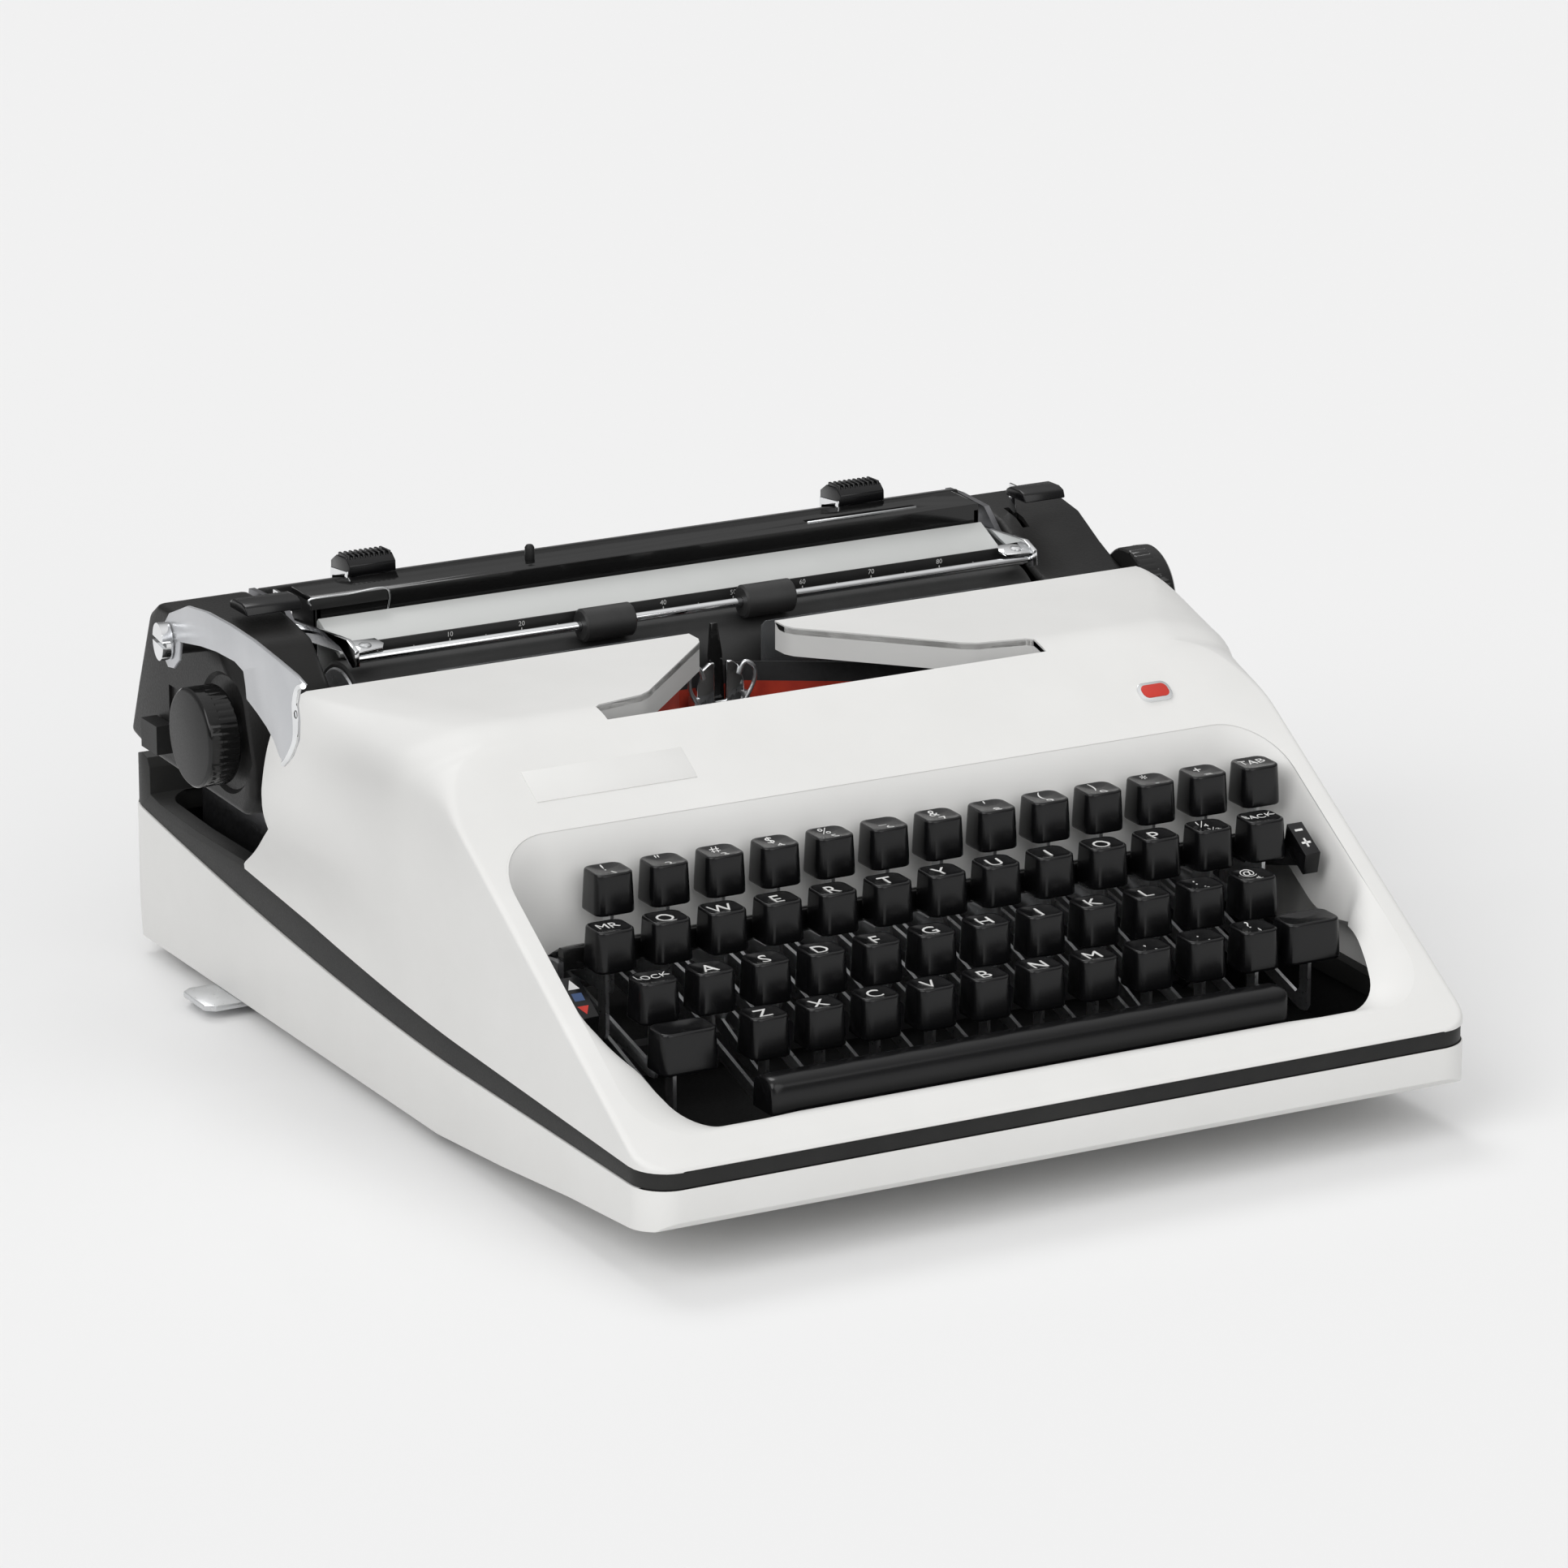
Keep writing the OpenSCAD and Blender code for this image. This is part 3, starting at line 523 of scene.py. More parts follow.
def cover_skin():
    """Left half of the outer skin as rows of points; each row runs from the seam up and in to the centre line."""
    rows = []
    n_side, n_round = 26, 16
    ys = [FRONT + d for d in (0.0, 0.4, 1.0, 2.0, 3.2, 4.8, 6.6, 9.0, 12)]
    y = FRONT + 15
    while y < -80:
        ys.append(y)
        y += 6
    while y < COVER_BACK:
        ys.append(y)
        y += 2.4
    ys.append(COVER_BACK)
    for y0 in ys:
        s = (y0 - FRONT) / (COVER_BACK - FRONT)
        zt = cover_top(y0)
        half = HALF if y0 > FRONT + CORNER else HALF - CORNER + math.sqrt(
            max(0.0, CORNER ** 2 - (FRONT + CORNER - y0) ** 2))
        # where the flat top ends, and how far the shoulder drops below it
        q = smooth((y0 + 64) / 34)                # 0 on the slope, 1 behind the crease
        r = smooth((y0 + 36) / 67)                # towards the rear corner
        t = max(0.0, min(1.0, (y0 + 68) / 31))
        edge = lerp(120.0, half - 2.2, math.sqrt(1 - t * t))
        edge = lerp(edge, 149.6, r)
        drop = lerp(1.6, 23.0, q)
        drop = lerp(drop, 31.0, r)
        wide = half + 19.0 * smooth((y0 + 70) / 100)
        dip = lerp(0.15, 0.26, q * (1 - r)) * drop
        if y0 < FRONT + 10:
            drop = min(drop, (zt - 35.2) * 0.75)
            dip = 0.1 * drop
        zs = zt - drop
        row = []
        for i in range(n_side):
            u = i / (n_side - 1)
            yy = y0
            for _ in range(3):
                zb = seam(yy) + band(yy) + 0.2
                zz = lerp(zb, zs, u)
                yy = y0 + (rear_y(zz) - COVER_BACK) * s ** 5
            g = smooth((zz - 48) / (zs - 48 + 1e-6)) if zs > 60 else 0.0
            row.append((-(half + (wide - half) * g * smooth((y0 + 58) / 30)), yy, zz))
        x_side = -row[-1][0]
        for i in range(1, n_round + 1):            # shoulder: a conic from the side to the top edge
            t = i / n_round
            w = lerp(1.2, 1.9, q * (1 - r))
            b0, b1, b2 = (1 - t) ** 2, 2 * t * (1 - t) * w, t * t
            k = b0 + b1 + b2
            px = (b0 * x_side + b1 * (x_side - 0.2) + b2 * edge) / k
            pz = (b0 * zs + b1 * (zt - dip) + b2 * zt) / k
            yy = y0 + (rear_y(pz) - COVER_BACK) * s ** 5
            row.append((-px, yy, pz))
        for x in (0.86, 0.6, 0.3, 0.0):
            row.append((-edge * x, y0, zt))
        rows.append(row)
    return rows


def cover():
    rows = cover_skin()
    n = len(rows[0])
    full = [row + [(-x, y, z) for x, y, z in row[-2::-1]] for row in rows]
    m = len(full[0])
    verts = [p for r in full for p in r]
    faces = [(k * m + i, k * m + i + 1, (k + 1) * m + i + 1, (k + 1) * m + i)
             for k in range(len(full) - 1) for i in range(m - 1)]
    me = bpy.data.meshes.new("cover_shell")
    me.from_pydata([at(*v) for v in verts], [], faces)
    bm = bmesh.new()
    bm.from_mesh(me)
    bmesh.ops.remove_doubles(bm, verts=bm.verts, dist=0.00002)
    bmesh.ops.recalc_face_normals(bm, faces=bm.faces)
    up = sum(f.normal.z * f.calc_area() for f in bm.faces)
    if up < 0:
        bmesh.ops.reverse_faces(bm, faces=bm.faces)
    bm.to_mesh(me)
    bm.free()
    ob = new_object("cover_shell", me, [WHITE, WHITE_SHADED], "cover", 30)
    wall = ob.modifiers.new("wall", "SOLIDIFY")
    wall.thickness = 2.3 * MM
    wall.offset = -1
    wall.use_even_offset = True
    wall.thickness_clamp = 0.6
    apply_mods(ob)
    boolean(ob, raw(*prism(recess_outline(0.4), "z", -20, 160)))
    boolean(ob, raw(*prism(V_HOLE, "z", 100, 160)))
    shade(ob, 28)
    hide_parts("top_cover")
    rim = mesh_object("cover_rim", *recess_skin(0.0, 0.66, True), WHITE, "cover", 38)
    low = mesh_object("case_inner_wall", *recess_skin(0.66, 1.0, False), WHITE, "base", 38)
    # the skirt gets the darker white copy: painted shade
    skirt = mesh_object("cover_skirt", *skirt_mesh(V_HOLE, 2.2), WHITE_SHADED, "cover", 30)


def recess_outline(grow=0.0):
    """Outer edge of the keyboard recess, with points all along its sides."""
    x, yb, yf, r = 137.6 - grow, -68.2 - grow, -173.6 + grow, 19.0
    pts = [(x * i / 12, yb) for i in range(-10, 11)][::-1]
    pts += arc(-x + r, yb - r, r, 90, 180, 12)
    pts += [(-x, lerp(yb - r, yf + r, i / 22)) for i in range(1, 22)]
    pts += arc(-x + r, yf + r, r, 180, 270, 12)
    pts += [(x * i / 12, yf) for i in range(-10, 11)]
    pts += arc(x - r, yf + r, r, 270, 360, 12)
    pts += [(x, lerp(yf + r, yb - r, i / 22)) for i in range(1, 22)]
    pts += arc(x - r, yb - r, r, 0, 90, 12)
    return pts


def recess_skin(t0, t1, bottom):
    """The bowl round the keyboard between two depths: steep behind the keys, shallow at the front corners."""
    def point(x, y, t, off=0.0):
        yi = lerp(-167.6, -79.0, (y + 173.6) / 105.4)
        if yi > -129:
            wi = 132.4
        elif yi > -133:
            wi = lerp(132.4, 129.3, (-129 - yi) / 4)
        else:
            wi = lerp(129.3, 123.5, min(1.0, (-133 - yi) / 22))
        xi = x * wi / 137.6
        deep = lerp(5.0, 27.0, smooth((y + 150) / 52))
        if abs(x) < 100 and y < -160:
            deep = 4.2
        px, py = lerp(x, xi, t), lerp(y, yi, t)
        d = deep * (0.30 * t + 0.70 * t ** 2.2)
        if t < 0.02:
            d = 0.0
        n = 1.0 if off == 0 else 1.0 + off / 136
        return (px * n, py if off == 0 else -121 + (py + 121) * (1 + off / 50), panel_z(py) - d)
    steps = [t0 + (t1 - t0) * i / 12 for i in range(13)]
    if t0 == 0:
        steps = [0.0, 0.02] + steps[1:]
    outer = recess_outline()
    rings = [[point(x, y, t) for x, y in outer] for t in steps]
    back = []
    for t in reversed(steps):
        back.append([(p[0], p[1], p[2] - 1.6) for p in (point(x, y, t, 1.6 if t > 0.02 else 0.0) for x, y in outer)])
    v, f = loft(rings + back, False)
    n, last = len(outer), len(rings + back) - 1
    f += [(last * n + i, last * n + (i + 1) % n, (i + 1) % n, i) for i in range(n)]
    return v, f


V_HOLE = [(15.5, 60), (15.5, 25), (17, 21.5), (56, -18.5), (60, -21), (76, -24), (78, -25.5), (78, -33.5),
          (-78, -33.5), (-78, -25.5), (-76, -24), (-60, -21), (-56, -18.5), (-17, 21.5), (-15.5, 25), (-15.5, 60)]


def skirt_mesh(outline, t):
    """A thin wall hanging along the type opening, from the deck down."""
    line = [(15.5, 31.2)] + [p for p in outline if p[1] < 31] + [(-15.5, 31.2)]
    rows = []
    for i, (x, y) in enumerate(line):
        a = Vector(line[max(i - 1, 0)])
        b = Vector(line[min(i + 1, len(line) - 1)])
        d = (b - a).normalized()
        nrm = Vector((-d.y, d.x))
        if nrm.dot(Vector((x, y + 8))) < 0:
            nrm = -nrm
        top = cover_top(y) - 0.5
        depth = 9.0 if y > -30 else 6.0
        rows.append([(x, y, top), (x, y, top - depth), (x + nrm.x * t, y + nrm.y * t, top - depth),
                     (x + nrm.x * t, y + nrm.y * t, top - 1.2)])
    return loft(rows)


def on_slope(x, y, up=0.0):
    """A point over the front slope of the cover."""
    n = Vector((0, -0.5176, 0.8556))
    return (x + n.x * up, y + n.y * up, panel_z(y) + n.z * up)


def cover_trim():
    def slab(outline, low, high):
        return loft([[on_slope(x, y, h) for x, y in outline] for h in (low, high)])
    field = slab([(-115, -58.3), (-60, -58.3), (-60, -47.4), (-115, -47.4)], -0.5, 0.28)
    ob = mesh_object("blank_field", *field, WHITE, "cover", 30)
    bevel(ob, 0.12, 2, 40)
    b = [[], [], []]
    add(b, *slab(rounded(99.8, -57.6, 111.2, -51.0, 2.6, 6), -0.4, 0.9))
    add(b, *slab(rounded(100.8, -56.6, 110.2, -52.0, 1.9, 6), 0.85, 1.15), 1)
    badge = finish_parts("plain_badge", b, [CHROME, RED], "cover", 30, 0.18, 2)
    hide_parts("cover_badge")


# ---- keys
PITCH = 19.05
ROW_X = (-111.3, -120.3, -115.2, -106.2)
ROW_Y = (-91.5, -110.0, -128.3, -145.7)
ROW_Z = (96.0, 84.6, 73.1, 62.7)
TIP_Z = (57, 50, 42, 33)
CAP_W, CAP_D, CAP_H = 13.0, 12.4, 13.0
FULCRUM = (12.0, 58.0)                # Y and Z of the rod that the levers turn on
LEVER_HUB = [(FULCRUM[0] + y, FULCRUM[1] + z) for y, z in ((0, 3), (3.6, 1.8), (4, 0), (3.6, -1.8), (0, -3))]
LEGENDS = (
    ["!\n1", "\"\n2", "#\n3", "$\n4", "%\n5", "_\n6", "&\n7", "'\n8", "(\n9", ")\n0", "*\n-", "+\n="],
    ["MR", "Q", "W", "E", "R", "T", "Y", "U", "I", "O", "P", "¼\n½"],
    ["LOCK", "A", "S", "D", "F", "G", "H", "J", "K", "L", ":\n;", "@\n¢"],
    ["", "Z", "X", "C", "V", "B", "N", "M", ",\n,", ".\n.", "?\n/"])


def cap_rings(w, d, h, dish):
    """Rings of one cap from its foot to its dished top, about its own centre, top at 0."""
    def ring(inset, r, z):
        return [(x, y, z) for x, y in rounded(inset - hw, inset - hd, hw - inset, hd - inset, r, 7)]
    hw, hd = w / 2 + 0.3, d / 2 + 0.2
    rings = [ring(1.2, 2.0, 1.2 - h), ring(1.0, 2.1, -h), ring(0.35, 2.7, -h), ring(0.05, 3.0, 0.35 - h),
             ring(0.0, 3.1, 0.9 - h)]
    for t in (0.12, 0.35, 0.6, 0.8):
        rings.append(ring(0.42 * t ** 1.2, 3.1, lerp(0.9 - h, -0.9, t)))
    rings += [ring(0.42, 3.15, -0.75), ring(0.5, 3.1, -0.38), ring(0.72, 2.95, -0.12), ring(1.0, 2.75, -0.02),
              ring(1.25, 2.6, -0.03)]
    edge = ring(1.25, 2.6, 0)
    for t in (0.9, 0.76, 0.6, 0.42, 0.22):
        rings.append([(x * t, y * t, -dish * (1 - t * t) - 0.03) for x, y, _ in edge])
    return rings


def cap_mesh(cx, cy, top, w, dish):
    return loft([[(cx + x, cy + y, top + z) for x, y, z in r] for r in cap_rings(w, CAP_D, CAP_H, dish)])


def lever_mesh(x, y, cap_z, tip):
    """A flat key lever: hub on the fulcrum, arm forward, stem up into the cap."""
    yc = y + CAP_D / 2
    top = cap_z - CAP_H + 1.0
    outline = [(yc - 2.5, tip + 1.5), (yc - 2.5, top), (yc + 2.5, top), (yc + 2.5, tip + 6), (yc + 4.5, tip + 4),
               (-56, FULCRUM[1] + 2.5), *LEVER_HUB, (-56, FULCRUM[1] - 2.5), (yc + 2, tip - 1), (yc - 1.2, tip - 0.6)]
    return prism(outline, "x", x - 0.6, x + 0.6)


def text_mesh(body, size, cx, cy, surface, thick=0.07):
    """Generic sans legend laid on a surface: surface(x, y) gives its height."""
    cu = bpy.data.curves.new("t", "FONT")
    cu.body = body
    cu.size = size * MM
    cu.align_x = "CENTER"
    cu.align_y = "CENTER"
    cu.offset = -0.00003
    cu.resolution_u = 3
    ob = linked("t", cu)
    bpy.context.view_layer.update()
    dg = bpy.context.evaluated_depsgraph_get()
    me = bpy.data.meshes.new_from_object(ob.evaluated_get(dg), depsgraph=dg)
    bm = bmesh.new()
    bm.from_mesh(me)
    bmesh.ops.remove_doubles(bm, verts=bm.verts, dist=0.000005)
    bmesh.ops.triangulate(bm, faces=bm.faces)
    geom = bmesh.ops.extrude_face_region(bm, geom=list(bm.faces))
    for e in geom["geom"]:
        if isinstance(e, bmesh.types.BMVert):
            e.co.z += 0.001
    bm.verts.index_update()
    verts = []
    for v in bm.verts:
        x, y = cx + v.co.x / MM, cy + v.co.y / MM
        verts.append((x, y, surface(x, y) + (thick if v.co.z > 0.0005 else -0.25)))
    faces = [tuple(v.index for v in f.verts) for f in bm.faces]
    bm.free()
    bpy.data.objects.remove(ob)
    bpy.data.curves.remove(cu)
    bpy.data.meshes.remove(me)
    return verts, faces


def add_key(p, row, x, w, text, lever_x, dish=0.8):
    cx, cy, top = x + w / 2, ROW_Y[row] + CAP_D / 2, ROW_Z[row]
    add(p, *cap_mesh(cx, cy, top, w, dish))
    add(p, *lever_mesh(lever_x, ROW_Y[row], ROW_Z[row], TIP_Z[row]), 1)
    hw, hd = w / 2 - 0.95, CAP_D / 2 - 1.05

    def surface(px, py):
        t = min(1.0, max(abs(px - cx) / hw, abs(py - cy) / hd))
        return top - dish * (1 - t * t) - 0.02
    lines = text.split("\n")
    if len(lines) == 2:
        add(p, *text_mesh(lines[0], 5.6, cx - 0.3, cy + 2.5, surface), 2)
        add(p, *text_mesh(lines[1], 5.2, cx + 0.8, cy - 2.7, surface), 2)
    elif len(text) > 1:
        add(p, *text_mesh(text, {2: 5.4, 3: 4.9, 4: 4.3}[len(text)], cx, cy + 1.4, surface), 2)
    elif text:
        add(p, *text_mesh(text, 7.8, cx, cy + 0.4, surface), 2)


def key_x(row, i):
    return ROW_X[row] + i * PITCH


def hub(p, x0, x1):
    add(p, *spun([(x0, 3.95), (x1, 3.95)], (0, FULCRUM[0], FULCRUM[1]), "x", 20), 1)


def keys():
    def piece(name, p, node, angle):
        ob = finish_parts(name, p, [KEY, STEEL, LEGEND], node, angle)
        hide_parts(node)
    for g in range(12):
        if g == 0:
            keys_of = [(0, 0), (1, 1), (2, 1)]
        elif g == 11:
            keys_of = [(0, 11)]
        else:
            keys_of = [(0, g), (3, g), (1, g + 1), (2, g + 1)]
        p = [[], [], []]
        for row, i in keys_of:
            x = key_x(row, i)
            add_key(p, row, x, CAP_W, LEGENDS[row][i], x + CAP_W / 2)
        first = key_x(*keys_of[0]) + CAP_W / 2
        last = key_x(*keys_of[-1]) + CAP_W / 2
        hub(p, first - 0.8, last + 0.8)
        piece("keys_%02d" % (g + 1), p, "key_group_%02d" % (g + 1), 42)
    half = CAP_W / 2
    for node, row, x, w, text, lever_x in (
            ("key_shift_lock", 2, key_x(2, 0), CAP_W, "LOCK", key_x(2, 0) + half),
            ("key_tab", 0, key_x(0, 12), CAP_W, "TAB", key_x(0, 12) + half),
            ("key_back_space", 1, key_x(1, 12), CAP_W, "BACK", key_x(1, 12) + half),
            ("key_margin_release", 1, key_x(1, 0), CAP_W, "MR", -116.0),
            ("key_shift_left", 3, -117.5, 19.0, "", -112.0),
            ("key_shift_right", 3, 100.5, 19.0, "", 110.0)):
        p = [[], [], []]
        add_key(p, row, x, w, text, lever_x, 0.7)
        hub(p, lever_x - 0.6, lever_x + 0.6)
        piece("cap_" + node[4:], p, node, 42)
    p = [[], [], []]
    prof = [(-166.1, 38.7), (-166.3, 44.0), (-166.0, 48.0), (-165.2, 49.6), (-163.8, 50.4), (-161, 50.6),
            (-157.5, 50.3), (-154.6, 49.3), (-153.3, 47.6), (-152.8, 44.0), (-152.7, 38.7)]
    cy, cz = -159.4, 44.5
    rings = []
    for x, k in ((-92, 0.80), (-91.7, 0.88), (-91.0, 0.95), (-89.8, 0.99), (-88.0, 1.0), (84.0, 1.0),
                 (85.8, 0.99), (87.0, 0.95), (87.7, 0.88), (88.0, 0.80)):
        rings.append([(x, cy + (y - cy) * k, cz + (z - cz) * k) for y, z in prof])
    add(p, *loft(rings))
    arm = [(-154.2, 28), (-154.2, 42.5), (-149.6, 42.5), (-149.6, 31), (-127, 29.5), (-100, 40),
           (-56, FULCRUM[1] + 0.5), *LEVER_HUB, (-56, FULCRUM[1] - 4.5), (-100, 35), (-127, 25), (-152, 25.6)]
    for x in (-68.65, 64.7):                  # the levers dip under the front row of caps
        add(p, *prism(arm, "x", x - 0.5, x + 0.5), 1)
    piece("space_bar", p, "key_space_bar", 40)


# ---- selector and touch control
def tilted_block(x0, x1, y0, y1, z_front, thick):
    """A thumb piece whose top follows the slope of the cover."""
    z_back = z_front + SLOPE * (y1 - y0)
    prof = [(y0, z_front), (y1, z_back), (y1 + 1.5, z_back - thick), (y0 + 1.5, z_front - thick)]
    return prism(prof, "x", x0, x1), (lambda y: z_front + SLOPE * (y - y0))


def thumb_controls():
    solid, top = tilted_block(-132.2, -125.2, -119, -105, 62.5, 7)
    p = [[], [], []]
    add(p, *solid)
    add(p, *prism([(-114, 56), (-104, 63), (-51, 60), (-51, 52), (-104, 57)], "x", -130, -128.8), 1)
    add(p, *rod((-129.4, -54, 56), (-125, -54, 56), 1.5), 1)
    ob = finish_parts("selector_body", p, [KEY, STEEL_DARK, LEGEND, BLUE, RED], "color_selector", 35, 0.7, 3)
    m = [[], [], []]

    def mark(outline, mat):
        add(m, *loft([[(x, y, top(y) - 0.3) for x, y in outline], [(x, y, top(y) + 0.06) for x, y in outline]]), mat)
    mark([(-130.6, -109.2), (-126.8, -109.2), (-128.7, -106.0)], 0)
    mark([(-130.4, -113.2), (-127.0, -113.2), (-127.0, -110.6), (-130.4, -110.6)], 1)
    mark([(-130.6, -115.0), (-126.8, -115.0), (-128.7, -117.8)], 2)
    marks = finish_parts("selector_marks", m, [LEGEND, BLUE, RED], "color_selector")
    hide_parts("color_selector")
    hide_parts("color_selector")
    solid, top = tilted_block(124.8, 130.4, -115, -103.5, 73.5, 7)
    p = [[], [], []]
    add(p, *solid)
    add(p, *prism([(-110, 68), (-103, 74), (-51, 60), (-51, 52), (-103, 66)], "x", 128.8, 130), 1)
    add(p, *rod((125, -54, 56), (129.4, -54, 56), 1.5), 1)
    touch = finish_parts("touch_body", p, [KEY, STEEL_DARK], "touch_control", 35, 0.7, 3)
    m = [[], [], []]
    for x0, y0, x1, y1 in ((126.2, -106.6, 129.0, -105.9), (126.0, -111.2, 129.2, -110.5),
                           (127.25, -112.4, 127.95, -109.3)):
        mark([(x0, y0), (x1, y0), (x1, y1), (x0, y1)], 0)
    signs = finish_parts("touch_marks", m, [LEGEND], "touch_control")
    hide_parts("touch_control")
    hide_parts("touch_control")


# ---- carriage
PLATEN = (63.4, 107.4)
END_LEFT = [(51, 83), (122, 84.6), (138, 88), (131, 107), (121, 132), (114, 137), (84, 137), (66, 134), (52, 121),
            (47, 105), (44, 97), (44.5, 90)]
END_RIGHT = [(51, 83), (122, 84.6), (138, 88), (131, 107), (121, 130), (112, 134.5), (90, 131), (76, 124), (64, 119),
             (52, 116), (47, 105), (44, 97), (44.5, 90)]


def inset(outline, d):
    """Moves an outline inwards by d."""
    pts, res = [Vector(q) for q in outline], []
    middle = Vector((90, 108))
    for i, b in enumerate(pts):
        e1, e2 = b - pts[i - 1], pts[(i + 1) % len(pts)] - b
        n1 = Vector((e1.y, -e1.x)).normalized()
        m = n1 + Vector((e2.y, -e2.x)).normalized()
        m = m / max(0.3, m.dot(n1))
        if m.dot(middle - b) < 0:
            m = -m
        res.append((b.x + m.x * d, b.y + m.y * d))
    return res


def end_cover(outline, x_out, x_in, name, node):
    s = -1 if x_out < 0 else 1
    ob = mesh_object(name, *prism(outline, "x", x_out, x_in), CRINKLE, "carriage")
    bevel(ob, 2.6, 4, 20)
    boolean(ob, raw(*prism(inset(outline, 1.7), "x", x_out - s * 2.4, x_in - s * 3)))
    boolean(ob, raw(*spun([(0, 4.6), (60, 4.6)], (x_out - 20 if s < 0 else x_in - 20, *PLATEN), "x", 32)))
    if s < 0:       # window over the ratchet, dished ring behind the knob, slot
        boolean(ob, raw(*prism([(50, 119), (62, 132.6), (70, 142), (40, 142), (40, 119)], "x", -148.5, -138.5)))
        boolean(ob, raw(*spun([(0, 19.5), (1.3, 18.2)], (x_out - 0.05, *PLATEN), "x", 48)))
        boolean(ob, raw(*box_mesh((-168, 64.4, 99), (-162.0, 106, 112))))
    else:
        boolean(ob, raw(*box_mesh((138.2, 85.5, 100), (140.8, 98.5, 160))))
    shade(ob, 32)
    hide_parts(node)


def carriage_ends():
    end_cover(END_LEFT, -163, -131, "end_cover_left", "carriage_end_left")
    end_cover(END_RIGHT, 163, 131, "end_cover_right", "carriage_end_right")
    boss = mesh_object("lever_boss", *rod(lever_at(0.4, 0, 0), lever_at(12, 0, 0), 4.5, 32, 0.5), CRINKLE, "carriage")
    boolean(boss, raw(*rod(lever_at(-3, 0, 0), lever_at(9, 0, 0), 2.55, 24, 0.1)))
    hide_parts("carriage_end_left")


LEVER_SWING = math.radians(-8.5)


def lever_at(x, u, v):
    """A point of the return lever's own frame: x across the blade, u to the back, v up."""
    c, s = math.cos(LEVER_SWING), math.sin(LEVER_SWING)
    return (-172.5 + x * c - u * s, 80 + x * s + u * c, 134.6 + v)


BLADE_LINE = [(5, 5), (0, 9), (-8, 12), (-21, 17), (-43, 21), (-69, 24), (-94, 26), (-119, 27), (-139, 27.6),
              (-148, 27), (-141, 23.5), (-138, 18), (-139.5, 13), (-138.5, 7), (-132, 0.2), (-125.5, -4.3),
              (-120.5, -3.2), (-114.5, 0.2), (-107, 2.3), (-97.5, 3.8), (-86, 5), (-85, 9), (-83, 13), (-73.5, 13.5),
              (-53, 11), (-35, 7.8), (-11.2, 2.6), (-9.5, -4), (-4, -8), (2.7, -9.4), (6, -8), (7.4, 0)]


def return_lever():
    sides = [[lever_at(x, u, v) for u, v in BLADE_LINE] for x in (-1.4, 0)]
    ob = mesh_object("lever_blade", *loft(sides), BLADE, "return_lever")
    boolean(ob, raw(*rod(lever_at(-6, 0, 0), lever_at(6, 0, 0), 2.6, 32, 0.1)))
    bevel(ob, 0.35, 2, 40)
    edge = [(-147.6, 26.6), (-142, 24.2), (-138.6, 18.6), (-139.2, 13), (-138.2, 7), (-131.8, 0.4), (-125.8, -3.8)]
    lip = mesh_object("lever_edge", *wire([lever_at(-1.5, u, v) for u, v in edge], 0.95), CHROME, "return_lever", 60)
    for o in (ob, lip):
        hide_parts("return_lever")


def ribbed(profile, n, depth):
    """A turned piece on the platen's axis from rows of (x, radius, grooved)."""
    rings = []
    for x, r, grooved in profile:
        ring = []
        for i in range(n):
            c, s = turn(i, n)
            rr = r - (depth if grooved and i % 6 < 2 else 0)
            ring.append((x, PLATEN[0] + rr * c, PLATEN[1] + rr * s))
        rings.append(ring)
    return loft(rings)


def knob(x0, sign, node):
    """Platen knob: flat face, smooth band, ribbed rim; the face is on the side of sign."""
    prof = [(0.0, 14.6, 0), (0.25, 15.3, 0), (0.9, 15.9, 0), (4.6, 16.0, 0), (4.9, 15.9, 1), (9.9, 15.9, 1),
            (10.5, 15.6, 0), (11.0, 15.0, 0)]
    shape = ribbed([(x0 + (a if sign < 0 else 11 - a), r, rib) for a, r, rib in prof], 240, 0.14)
    ob = mesh_object(node.replace("platen_", "turn_"), *shape, [GLOSS, SATIN], "platen", 30)
    for q in ob.data.polygons:
        if abs(q.normal.x) > 0.9:
            q.material_index = 1
    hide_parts(node)


def platen_parts():
    p = [[], [], []]
    add(p, *spun([(-123, 16.2), (-122.4, 17.0), (122.4, 17.0), (123, 16.2)], (0, *PLATEN), "x", 96))
    for prof, n in (([(-164.5, 3.95), (-123, 3.95)], 28), ([(123, 3.95), (164.5, 3.95)], 28),
                    ([(-123.6, 14.6), (-123, 15.2)], 64), ([(123, 15.2), (123.6, 14.6)], 64)):
        add(p, *spun(prof, (0, *PLATEN), "x", n), 1)
    ob = finish_parts("platen_roller", p, [RUBBER, STEEL], "platen")
    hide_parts("platen")
    teeth = ribbed([(-147.6, 11.6, 0), (-147.4, 12.6, 1), (-139.6, 12.6, 1), (-139.4, 11.6, 0)], 216, 0.9)
    wheel = mesh_object("spacing_wheel", *teeth, GLOSS, "platen", 30)
    boolean(wheel, raw(*spun([(-150, 4.0), (-136, 4.0)], (0, *PLATEN), "x", 28)))
    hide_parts("ratchet_wheel")
    knob(-175.5, -1, "platen_knob_left")
    knob(164.5, 1, "platen_knob_right")


def vertical_text(body, size, cx, cz, y_face):
    """Small figures standing on a face that looks to the front."""
    v, f = text_mesh(body, size, 0, 0, lambda x, y: 0.0, 0.03)
    return [(cx + x, y_face - (0.05 if z > 0 else -0.1), cz + y) for x, y, z in v], f


UNIT = 2.54          # one character of the scale
BAIL_ROD = (53.4, 128.2)


